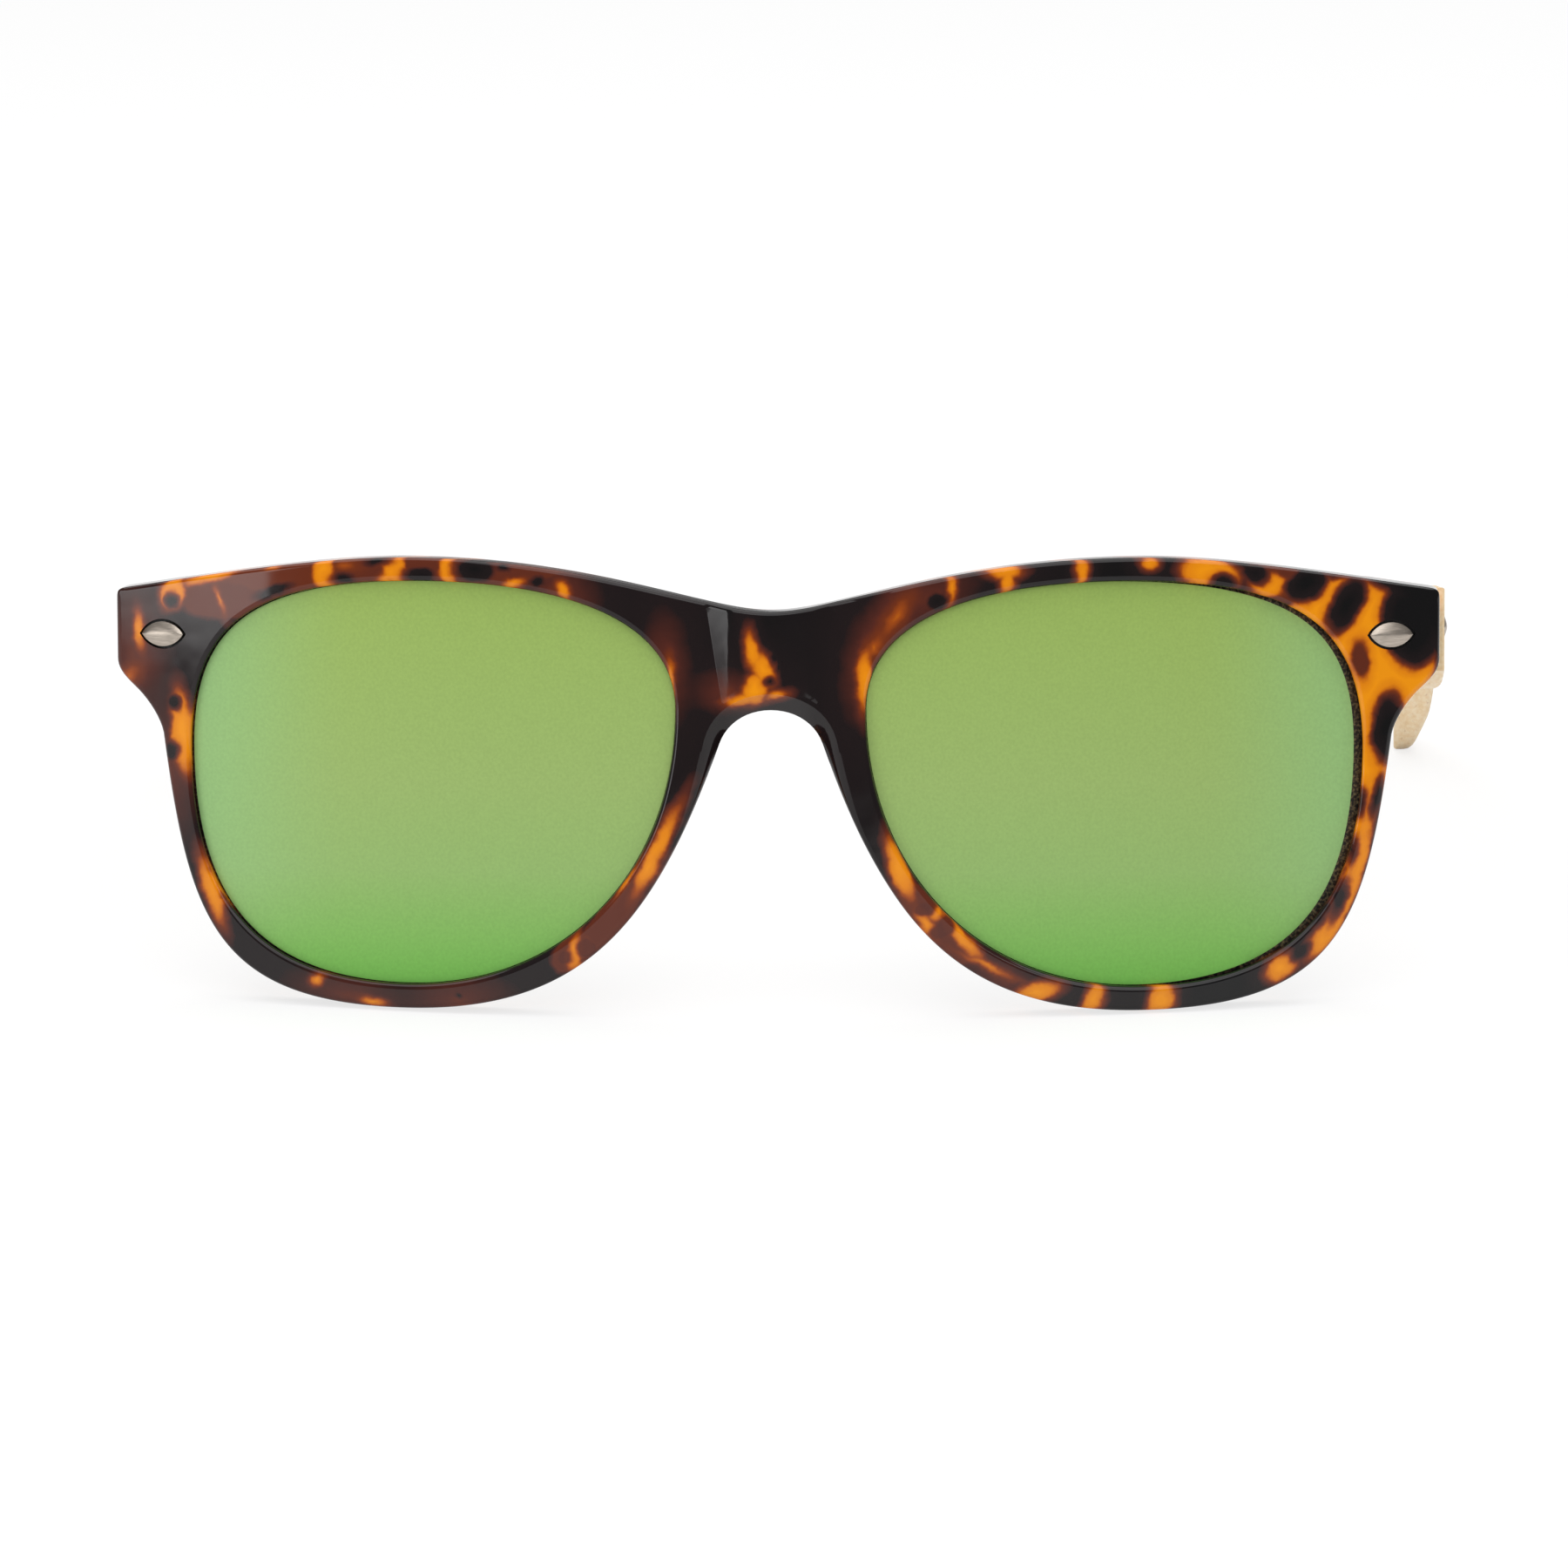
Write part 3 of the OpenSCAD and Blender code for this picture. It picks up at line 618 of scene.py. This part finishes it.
for clouds, sign, crisp, stays_brown in (
        (brown_clouds, 1, 1, True), (glows, 1, 0, False), (amber_clouds, 1, 1, False),
        (brown_spots, -1, 1, True), (dark_clouds, -1, 1.2, False)):
    for x, z, half_long, half_wide, turn, *under in clouds:
        # Taking the field along, times nought, keeps the clouds in turn, so that few values are held at once
        spot = add_node(tree, "VectorMath", {0: field, 1: (0, 0, 0), 2: flat_sheet},
                        operation="MULTIPLY_ADD")
        shape = add_node(tree, "Mapping", {"Vector": spot.outputs[0], "Location": (x, z, 0),
                                           "Rotation": (0, 0, radians(turn)),
                                           "Scale": (half_long, half_wide, 1)}, vector_type="TEXTURE")
        far = add_node(tree, "VectorMath", {0: shape.outputs[0]}, operation="LENGTH")
        steep = sign * crisp * half_wide if crisp else glow_slope
        start = sign * sum(under) - steep if crisp else sum(under)
        edge = add_node(tree, "Math", {0: far.outputs["Value"], 1: steep, 2: start},
                        operation="MULTIPLY_ADD")
        if stays_brown:
            edge = add_node(tree, "Math", {0: edge.outputs[0], 1: brown_level},
                            operation="MAXIMUM" if sign > 0 else "MINIMUM")
        field = add_node(tree, "Math", {0: field, 1: edge.outputs[0], 2: blend},
                         operation="SMOOTH_MIN" if sign > 0 else "SMOOTH_MAX").outputs[0]
level = add_node(tree, "MapRange", {"Value": field, "From Min": full_amber, "From Max": full_dark})
shell_tone = add_node(tree, "ValToRGB", {0: level.outputs[0]}, stops=[
    (0.0, linear("#EC9208")), (1.0, linear("#0B0A0B")), (0.22, linear("#DF8208")),
    (0.29, linear("#C66A0A")), (0.34, linear("#9A460E")), (0.39, linear("#6E2E12")),
    (0.46, linear("#50231A")), (0.58, linear("#1B1213"))])
tree.links.new(shell_tone.outputs[0], surface.inputs["Base Color"])
# Polishing leaves a faint ripple a few millimetres long
ripple_size = 3
ripple = add_node(tree, "TexNoise", {"Vector": sheet_place, "Scale": 1 / ripple_size, "Detail": 1.0})
work_surface(tree, surface, ripple.outputs["Fac"], 0.05, 0.08, 0.004)
surface.inputs["IOR"].default_value = 1.49
surface.inputs["Specular IOR Level"].default_value = 0.35


def front_sheet(p):
    """Place in the pattern: it is drawn on the face and runs on round the edges."""
    behind = p.y - wrap_y(p.x, 0)
    return (p.x + behind * min(max(p.x / 10, -1), 1), p.z, behind)


# Painted shadow: the studs' seats are coloured near-black, mottled and matt, so that a thin dark line of
# shade shows round each stud
seat_shadow_paint, tree, surface = new_material("painted black seat shadow")
shadow_mottle_size = 0.3
place = add_node(tree, "Attribute", attribute_name="pattern").outputs["Vector"]
shadow_mottle = add_node(tree, "TexNoise", {"Vector": place, "Scale": 1 / shadow_mottle_size, "Detail": 2.0})
work_surface(tree, surface, shadow_mottle.outputs["Fac"], 0.4, 0.6, 0.03,
             tones=[(0.3, linear("#080707")), (0.7, linear("#141212"))])

make_piece("tortoiseshell_front", front_points, front_faces, front_place, [tortoiseshell, seat_shadow_paint], "front",
           ["front_frame"], coats=front_coats, sheet=front_sheet)

# Lenses: bowed plastic plates, dark inside, with a green mirror coating on the front and an edge left
# matt from grinding. Each one is snapped into the groove of its rim from behind.
lens_t = 1.9
groove_lip = 1.1
# How far the lens reaches into the groove, how deep its ground edge is, and the gap beside its face
lens_reach = 0.25
ground_depth = 0.45
face_gap = 0.05


def lens_sheet(p):
    """Place in the coating: 0 at the lens's middle, 1 at its outer side and its top."""
    return ((abs(p.x) - lens_x) / half_w, p.z / half_h, p.x / half_w)


# Mirror coating, laid on in a vacuum: a satin green. Its colour holds a painted reflection of the
# surroundings:
# yellow-green above, a deeper green at the bottom, and bluer at the outer side, where the bottom still keeps
# its green
mirror, tree, surface = new_material("green mirror coating with painted reflection")
place = add_node(tree, "Attribute", attribute_name="pattern").outputs["Vector"]
parts = add_node(tree, "SeparateXYZ", {0: place})
upward = add_node(tree, "MapRange", {"Value": parts.outputs[1], "From Min": -1.0, "From Max": 1.0})
# Painted reflection: the green changes from the bottom of the lens to its top
reflection_by_height = add_node(tree, "ValToRGB", {0: upward.outputs[0]}, stops=[
    (0.0, linear("#6EB24C")), (1.0, linear("#96B259")), (0.12, linear("#80B55C")),
    (0.28, linear("#92B56B")), (0.5, linear("#98B469"))])
# Painted reflection: the outer side turns bluer
outward = add_node(tree, "MapRange", {"Value": parts.outputs[0], "From Min": 0.3, "From Max": 1.05},
                   interpolation_type="SMOOTHSTEP")
reflection_bluer_outside = add_node(tree, "Mix", {"Factor": outward.outputs[0], "A": reflection_by_height.outputs[0], "B": linear("#91BA78")},
                 data_type="RGBA")
# Painted reflection: towards the bottom the deeper green stays
downward = add_node(tree, "MapRange", {"Value": parts.outputs[1], "From Min": -0.45, "From Max": -0.9})
coat = add_node(tree, "Mix", {"Factor": downward.outputs[0], "A": reflection_bluer_outside.outputs["Result"],
                              "B": reflection_by_height.outputs[0]}, data_type="RGBA")
# Its fine grain is drawn as clouds of about half a millimetre, so that it shows
coat_grain = 0.45
grain = add_node(tree, "TexNoise", {"Vector": place, "Scale": half_w / coat_grain, "Detail": 3.0})
shade = add_node(tree, "MapRange", {"Value": grain.outputs["Fac"], "From Min": 0.3, "From Max": 0.7,
                                    "To Min": 0.95, "To Max": 1.05})
coat_and_reflection_tone = add_node(tree, "VectorMath", {0: coat.outputs["Result"], 1: shade.outputs[0]},
                     operation="MULTIPLY")
tree.links.new(coat_and_reflection_tone.outputs[0], surface.inputs["Base Color"])
work_surface(tree, surface, grain.outputs["Fac"], 0.37, 0.43, 0.002)
surface.inputs["Metallic"].default_value = 0.1
surface.inputs["Specular IOR Level"].default_value = 0.25

# Ground edge: matt, with tool marks a few tenths of a millimetre long that catch the light
ground, tree, surface = new_material("ground lens edge")
tool_mark = 0.384
place = add_node(tree, "Attribute", attribute_name="pattern").outputs["Vector"]
marks = add_node(tree, "TexNoise", {"Vector": place, "Scale": half_w / tool_mark, "Detail": 2.0})
work_surface(tree, surface, marks.outputs["Fac"], 0.5, 0.7, 0.03,
             tones=[(0.45, linear("#14110C")), (0.7, linear("#6B5E40"))])

# Dyed lens plastic: a dark glossy olive, in which the dye lies a little unevenly
tinted, tree, surface = new_material("dark tinted lens plastic")
dye_cloud = 9.96
place = add_node(tree, "Attribute", attribute_name="pattern").outputs["Vector"]
dye = add_node(tree, "TexNoise", {"Vector": place, "Scale": half_w / dye_cloud, "Detail": 2.0})
work_surface(tree, surface, dye.outputs["Fac"], 0.05, 0.08, 0.004,
             tones=[(0.3, linear("#1E2118")), (0.7, linear("#2A2D21"))])
surface.inputs["IOR"].default_value = 1.58


def lens_mesh(sign, band):
    """A lens's points, faces and coats. The face and the back are rings from the rim to the middle, and the
    ground edge shows in front by up to band at the outer side."""
    points = []
    faces = []
    coats = []
    mirrored_coat, ground_coat, tinted_coat = 0, 1, 2
    rings = 14
    centre = at(lens_x, 0)

    def add_lens(p, depth):
        points.append(Vector((sign * p.x, wrap_y(p.x, depth), p.y)))
        return len(points) - 1

    def coat_rows(rows, coat):
        for one, two in zip(rows, rows[1:]):
            weave(faces, one, two, True)
            coats.extend([coat] * len(one))

    def coat_middle(ring, middle, coat):
        for i in range(len(ring)):
            faces.append((ring[i], ring[(i + 1) % len(ring)], middle))
            coats.append(coat)

    back_edge = [p + lens_reach * out for p, out in lens_spots]
    face_edge = []
    for p, out in lens_spots:
        to_side = max((p - centre).normalized().x + 0.1, 0)
        face_edge.append(p - (face_gap + band * to_side ** 2) * out)
    back_depth = groove_lip + lens_t
    edge = [[add_lens(p, back_depth) for p in back_edge],
            [add_lens(p, groove_lip + ground_depth) for p in back_edge],
            [add_lens(p, groove_lip) for p in face_edge]]
    front = edge[-1:]
    for k in range(1, rings):
        front.append([add_lens(p.lerp(centre, k / rings), groove_lip) for p in face_edge])
    coat_rows(edge, ground_coat)
    coat_rows(front, mirrored_coat)
    coat_middle(front[-1], add_lens(centre, groove_lip), mirrored_coat)
    back = edge[:1]
    for k in range(1, rings):
        back.append([add_lens(p.lerp(centre, k / rings), back_depth) for p in back_edge])
    coat_rows(back, tinted_coat)
    coat_middle(back[-1], add_lens(centre, back_depth), tinted_coat)
    return points, faces, coats


for side_name, sign, band in (("left", -1, 0.15), ("right", 1, 0.75)):
    points, faces, coats = lens_mesh(sign, band)
    make_piece(f"mirror_lens_{side_name}", points, faces, front_place, [mirror, ground, tinted], "front",
               [f"lens_{side_name}"], coats=coats, sheet=lens_sheet)

# Studs: almond-shaped pewter castings with a soft ridge along the middle. A pin behind each one is
# pressed into the front or the temple, and round it the seat shows as a line of painted black shadow.
# Height of the rim over the face and of the dome over the rim, gap under the stud, softness of the ridge
stud_rim = 0.08
stud_rise = 0.4
stud_clear = 0.02
ridge_soft = 0.02
# Antique pewter: a warm grey satin metal. Polishing lines run along it, about a tenth of a millimetre apart.
pewter, tree, surface = new_material("antique pewter")
line_long = 1.6
line_apart = 0.14
place = add_node(tree, "Attribute", attribute_name="pattern").outputs["Vector"]
line_place = add_node(tree, "VectorMath", {0: place, 1: (1 / line_long, 1 / line_apart, 1 / line_apart)},
                      operation="MULTIPLY")
lines = add_node(tree, "TexNoise", {"Vector": line_place.outputs[0], "Scale": 1.0, "Detail": 2.0})
work_surface(tree, surface, lines.outputs["Fac"], 0.32, 0.4, 0.006,
             tones=[(0.3, linear("#A2988D")), (0.7, linear("#C2B7AB"))])
surface.inputs["Metallic"].default_value = 1.0


def stud_mesh():
    """A stud's points, along its length, up its height and out of its face, and its faces."""
    points = []
    faces = []
    long_steps = 28
    high_steps = 14
    r = (stud_half_long ** 2 + stud_half_high ** 2) / (2 * stud_half_high)
    rows = []
    for i in range(long_steps + 1):
        along = stud_half_long * -cos(pi * i / long_steps)
        reach = max(stud_half_high - r + sqrt(r * r - along ** 2), 0)
        row = []
        for j in range(high_steps + 1):
            share = -cos(pi * j / high_steps)
            ridge = 1 - sqrt(share ** 2 + ridge_soft) ** 1.4
            dome = max(ridge * sqrt(1 - (along / stud_half_long) ** 2), 0)
            row.append(len(points))
            points.append(Vector((along, share * reach, stud_rim + stud_rise * dome)))
        rows.append(row)
    for one, two in zip(rows, rows[1:]):
        weave(faces, one, two, False)
    edge = [row[-1] for row in rows] + [row[0] for row in reversed(rows)]
    foot = []
    for i in edge:
        foot.append(len(points))
        points.append(Vector((points[i].x, points[i].y, stud_clear - stud_sink)))
    weave(faces, edge, foot, True)
    faces.append(tuple(foot))
    return points, faces


stud_points, stud_faces = stud_mesh()
for side_name, sign in (("left", -1), ("right", 1)):
    mirror_side = Matrix.Scale(sign, 4, (1, 0, 0))
    stud_place = (front_place @ mirror_side @ Matrix.Translation((stud_x, wrap_y(stud_x, 0), stud_z))
                  @ Matrix.Rotation(stud_turn, 4, "Z") @ Matrix.Rotation(pi / 2, 4, "X"))
    make_piece(f"pewter_front_stud_{side_name}", stud_points, stud_faces, stud_place, [pewter], "front",
               [f"front_stud_{side_name}"])

# Temples: bamboo laminate, cut to an outline, rounded over along the edges and thinned at the tip. Each
# one butts against its end piece and folds about its hinge, with a stud set in its outer face. Sizes are
# in the right temple's own frame: y back from the hinge, z up, x out from the hinge's axis.
temple_len = 134.0
belly = 2.6
tip_t = 1.8
tip_taper = 26.0
ear_h = 8.2
ear_drop = 14.0
butt_gap = 0.1
bend_pull = 15
belly_pull = 24
temple_stud_y = 14.5
ear_y = 0.66 * temple_len
ear_up = 0.38 * ear_h
ear_low = ear_up - ear_h
belly_at = at(22, -temple_h / 2 - belly)
tip_top = at(temple_len - 3, ear_up - 0.9 * ear_drop)
tip_low = at(temple_len - 7.5, ear_low - 0.93 * ear_drop)
temple_side = [
    (at(butt_gap, temple_h / 2), at(0.25 * ear_y, temple_h / 2),
     at(0.7 * ear_y, ear_up + 0.9), at(ear_y, ear_up)),
    (at(ear_y, ear_up), at(ear_y + bend_pull, ear_up - 0.7), tip_top - bend_pull * at(1, -0.49), tip_top),
    (tip_top, tip_top + at(3.4, -1.7), at(temple_len + 1, tip_low.y + 0.2), tip_low),
    (tip_low, tip_low - 0.7 * bend_pull * at(1, -0.5),
     at(ear_y + bend_pull, ear_low - 0.7), at(ear_y, ear_low)),
    (at(ear_y, ear_low), at(ear_y - belly_pull, ear_low + 0.5), belly_at + at(belly_pull, 0), belly_at),
    (belly_at, belly_at - at(9, 0), at(8, belly_at.y + 0.5 * belly), at(butt_gap, -temple_h / 2)),
]
taper_y = temple_len - tip_taper
taper_end = temple_len + 2
taper = outline([(at(temple_t, taper_y), at(temple_t, taper_y + 0.42 * tip_taper),
                  at(tip_t + 1.7, taper_end - 0.4 * tip_taper), at(tip_t, taper_end))], spacing=0.7)
taper_ys = [p.y for p, out in taper] + [taper_end]
taper_ts = [p.x for p, out in taper] + [tip_t]


def thickness(y):
    """How thick the temple is at y: even, then tapered from the outer face to the tip."""
    return float(numpy.interp(y, taper_ys, taper_ts))


# Outline of the temple's side, with square corners at the end that meets the front
side_spots = outline(temple_side, spacing=1.6)
low_way = temple_side[-1][3] - temple_side[-1][2]
low_out_way = at(-low_way.y, low_way.x).normalized()
butt_way = at(-1, 0)
top_way = side_spots[0][1]
side_spots[0] = (side_spots[0][0], (top_way + butt_way) / (1 + top_way.dot(butt_way)))
side_spots.append((temple_side[-1][3], (low_out_way + butt_way) / (1 + low_out_way.dot(butt_way))))
side_spots += [(at(butt_gap, -temple_h / 2 + temple_h * t), butt_way) for t in (0.2, 0.4, 0.6, 0.8)]

temple_points = []
temple_faces = []


def add_temple(y, z, x):
    """Adds a point of the temple and gives its number."""
    temple_points.append(Vector((x, y, z)))
    return len(temple_points) - 1


def flat_temple(i):
    return at(temple_points[i].y, temple_points[i].z)


# Edges from the inner face round to the outer one: nearly square at the butt, rounder behind it, and most
# along the outer face's lower edge. At the tip the outer face is sanded off in a long slope.
butt_r = 0.25
edge_more = 0.55
edge_run = 14
round_share = 0.46
low_edge_more = 0.4
low_edge_from = 4
low_edge_run = 10
tip_from = temple_len - 17
tip_run = 13
tip_inset = 3.7
tip_share = 0.7
inner_tip_less = 0.6
sanded = 0.02
round_steps = 5
temple_rows = []
for outer in (False, True):
    for k in range(round_steps + 1):
        turn = k / round_steps * pi / 2
        row = []
        for spot, out in side_spots:
            size = min(butt_r + edge_more * ease(spot.x / edge_run), round_share * thickness(spot.x))
            tip = ease((spot.x - tip_from) / tip_run)
            if outer:
                low_edge = ease(-out.y / 0.8) * ease((spot.x - low_edge_from) / low_edge_run)
                size += low_edge_more * low_edge
                inset = size + (tip_inset - size) * tip
                depth = size + (tip_share * thickness(spot.x) - size) * tip
                p = spot - (inset * (1 - cos(turn)) + sanded) * out
                x = hinge_in + thickness(p.x) - depth * (1 - sin(turn))
            else:
                size *= 1 - inner_tip_less * tip
                p = spot - (size * (1 - sin(turn)) + sanded) * out
                x = hinge_in + size * (1 - cos(turn))
            row.append(add_temple(p.x, p.y, x))
        temple_rows.append(row)
for one, two in zip(temple_rows, temple_rows[1:]):
    weave(temple_faces, one, two, True)
outer_face = hinge_in + temple_t
# The stud's seat in the outer face: its walls and floor take the painted black shadow
seat_line = [at(temple_stud_y + p.x, p.y) for p in seat_almond]
seat_rim, shadowed_seat_faces = sink_seat(temple_faces, seat_line, add_temple, outer_face, outer_face - stud_sink)
fill(temple_faces, [temple_rows[0]], flat_temple, lambda y, z: add_temple(y, z, hinge_in), gap=2.5)
fill(temple_faces, [temple_rows[-1], seat_rim], flat_temple,
     lambda y, z: add_temple(y, z, hinge_in + thickness(y)), gap=2.5)
# The seat's faces take the painted black shadow
temple_coats = [1 if i in shadowed_seat_faces else 0 for i in range(len(temple_faces))]

# Bamboo, sanded and left pale under a satin lacquer. Fibres run along the temple, half a millimetre wide and
# some centimetres long, and short darker flecks are the cut ends of its vessels.
bamboo, tree, surface = new_material("sanded bamboo")
fibre_wide = 0.5
fibre_long = 18
fleck_long = 4
place = add_node(tree, "Attribute", attribute_name="pattern").outputs["Vector"]
fibre_place = add_node(tree, "VectorMath", {0: place, 1: (1 / fibre_wide, 1 / fibre_long, 1 / fibre_wide)},
                       operation="MULTIPLY")
fibres = add_node(tree, "TexNoise", {"Vector": fibre_place.outputs[0], "Scale": 1.0, "Detail": 3.0})
fleck_place = add_node(tree, "VectorMath", {0: place, 1: (1 / fibre_wide, 1 / fleck_long, 1 / fibre_wide)},
                       operation="MULTIPLY")
flecks = add_node(tree, "TexNoise", {"Vector": fleck_place.outputs[0], "Scale": 1.0, "Detail": 1.0})
wood = add_node(tree, "ValToRGB", {0: fibres.outputs["Fac"]}, stops=[
    (0.3, linear("#EECF9E")), (0.7, linear("#F9E4C0")), (0.5, linear("#F4D9AE"))])
fleck = add_node(tree, "ValToRGB", {0: flecks.outputs["Fac"]}, stops=[
    (0.66, linear("#FFFFFF")), (0.78, linear("#C9A372"))])
wood_tone = add_node(tree, "Mix", {"Factor": 0.35, "A": wood.outputs[0], "B": fleck.outputs[0]},
                     data_type="RGBA", blend_type="MULTIPLY")
tree.links.new(wood_tone.outputs["Result"], surface.inputs["Base Color"])
work_surface(tree, surface, fibres.outputs["Fac"], 0.5, 0.4, 0.05)

for side_name, sign in (("left", -1), ("right", 1)):
    pivot = Vector(joints[f"{side_name}_temple_fold"]["pos_m"])
    temple_place = (Matrix.Translation(pivot) @ Matrix.Scale(sign, 4, (1, 0, 0))
                    @ Matrix.Rotation(-lean - tilt, 4, "X") @ Matrix.Rotation(-splay, 4, "Z")
                    @ Matrix.Scale(MM, 4))
    make_piece(f"bamboo_temple_{side_name}", temple_points, temple_faces, temple_place, [bamboo, seat_shadow_paint],
               f"{side_name}_temple", [f"temple_{side_name}"], coats=temple_coats)
    stud_place = (temple_place @ Matrix.Translation((outer_face, temple_stud_y, 0))
                  @ Matrix.Rotation(pi / 2, 4, "Z") @ Matrix.Rotation(pi / 2, 4, "X"))
    make_piece(f"pewter_temple_stud_{side_name}", stud_points, stud_faces, stud_place, [pewter],
               f"{side_name}_temple", [f"temple_stud_{side_name}"])

# Hinges: stamped leaves, plated with nickel, and turned steel screws, which hold the leaves to the front and
# the temples and are the pins that the temples turn on. They show as the CAD pieces, with their flat faces
# joined and their edges broken.
cad_weld = 0.002
broken_edge = 0.06
mark_relief = 0.008
# Both metals are bright and satin, with marks of stamping and turning a few tenths of a millimetre wide
metals = {}
for name, dark, light, mark_size, smooth, rough in (
        ("nickel plate", "#B4B3AE", "#D0CFCA", 0.4, 0.22, 0.3),
        ("turned steel", "#A5A6A8", "#C4C5C6", 0.2, 0.26, 0.36)):
    metals[name], tree, surface = new_material(name)
    place = add_node(tree, "TexCoord").outputs["Object"]
    marks = add_node(tree, "TexNoise", {"Vector": place, "Scale": 1 / (mark_size * MM), "Detail": 2.0})
    work_surface(tree, surface, marks.outputs["Fac"], smooth, rough, mark_relief,
                 tones=[(0.3, linear(dark)), (0.7, linear(light))])
    surface.inputs["Metallic"].default_value = 1.0
for name, piece in frame["nodes"].items():
    if "leaf" not in name and "screw" not in name:
        continue
    piece.data.materials.clear()
    piece.data.materials.append(metals["turned steel" if "screw" in name else "nickel plate"])
    weld = piece.modifiers.new("weld", "WELD")
    weld.merge_threshold = cad_weld * MM
    flat = piece.modifiers.new("flat faces", "DECIMATE")
    flat.decimate_type = "DISSOLVE"
    flat.angle_limit = radians(1)
    broken = piece.modifiers.new("broken edges", "BEVEL")
    broken.width = broken_edge * MM
    broken.segments = 2
    broken.limit_method = "ANGLE"
    broken.angle_limit = radians(40)
    broken.face_strength_mode = "FSTR_ALL"
    even = piece.modifiers.new("even shading", "WEIGHTED_NORMAL")
    even.use_face_influence = True

# Stage: a table of white paper under a large overhead softbox, with a second softbox above the camera, a
# smaller one at the front left, and dim walls. The table ends half a metre to the right.
table_left, table_right = -3, 0.5
table_front, table_back = -1.6, 3
table_mesh = bpy.data.meshes.new("table")
table_mesh.from_pydata([(table_left, table_front, 0), (table_right, table_front, 0),
                        (table_right, table_back, 0), (table_left, table_back, 0)], [], [(0, 1, 2, 3)])
table_top = bpy.data.objects.new("table", table_mesh)
scene.collection.objects.link(table_top)
# White paper is matt. To the eye, and in metal and gloss, it is mostly lit from below, so that it shows
# white with only a faint shadow.
paper, tree, surface = new_material("white paper")
paper_light = 0.75
surface.inputs["Roughness"].default_value = 0.9
surface.inputs["Specular IOR Level"].default_value = 0.1
surface.inputs["Emission Color"].default_value = linear("#FFFFFF")
path = add_node(tree, "LightPath")
gloss = add_node(tree, "Math", {0: path.outputs["Is Glossy Ray"], 1: path.outputs["Is Transmission Ray"]})
seen = add_node(tree, "Math", {0: path.outputs["Is Camera Ray"], 1: gloss.outputs[0]}, use_clamp=True)
paper_tone = add_node(tree, "Mix", {"Factor": seen.outputs[0], "A": linear("#E7E7E7"),
                                    "B": linear("#868686")}, data_type="RGBA")
tree.links.new(paper_tone.outputs["Result"], surface.inputs["Base Color"])
paper_glow = add_node(tree, "Math", {0: seen.outputs[0], 1: paper_light}, operation="MULTIPLY")
tree.links.new(paper_glow.outputs[0], surface.inputs["Emission Strength"])
table_mesh.materials.append(paper)

# Softboxes: place, aim and size in metres, power in watts
for name, place, aim, size, power in (
        ("overhead softbox", (0, 0.1, 1.8), (0, 0.1, 0), (2.6, 2.6), 45),
        ("front softbox", (0.2, -1.7, 1.25), (0, -0.07, 0.03), (1.8, 1.2), 14),
        ("left softbox", (-0.98, -0.9, 0.215), (-0.06, -0.06, 0.04), (0.55, 0.38), 2.25)):
    light = bpy.data.lights.new(name, "AREA")
    light.shape = "RECTANGLE"
    light.size, light.size_y = size
    light.energy = power
    lamp = bpy.data.objects.new(name, light)
    facing = (Vector(aim) - Vector(place)).to_track_quat("-Z", "Y")
    lamp.matrix_world = Matrix.Translation(place) @ facing.to_matrix().to_4x4()
    scene.collection.objects.link(lamp)

world = bpy.data.worlds.new("studio")
world.use_nodes = True
scene.world = world
world.node_tree.nodes["Background"].inputs["Color"].default_value = linear("#818181")

# Camera: a long lens from a little to the right and above, as in the photo
yaw = radians(2.81)
rise = radians(11.75)
roll = radians(-0.47)
distance = 0.789
looked_at = Vector((1.19, -70, 24.48)) * MM
back = Vector((sin(yaw) * cos(rise), -cos(yaw) * cos(rise), sin(rise)))
level_right = Vector((cos(yaw), sin(yaw), 0))
level_up = back.cross(level_right)
right = cos(roll) * level_right + sin(roll) * level_up
upward = cos(roll) * level_up - sin(roll) * level_right
eye = looked_at + distance * back
camera_data = bpy.data.cameras.new("camera")
camera_data.lens = 166.4
camera_data.sensor_width = 36
camera = bpy.data.objects.new("camera", camera_data)
camera.matrix_world = Matrix.Translation(eye) @ Matrix((right, upward, back)).transposed().to_4x4()
scene.collection.objects.link(camera)
scene.camera = camera
scene.view_settings.view_transform = "Standard"
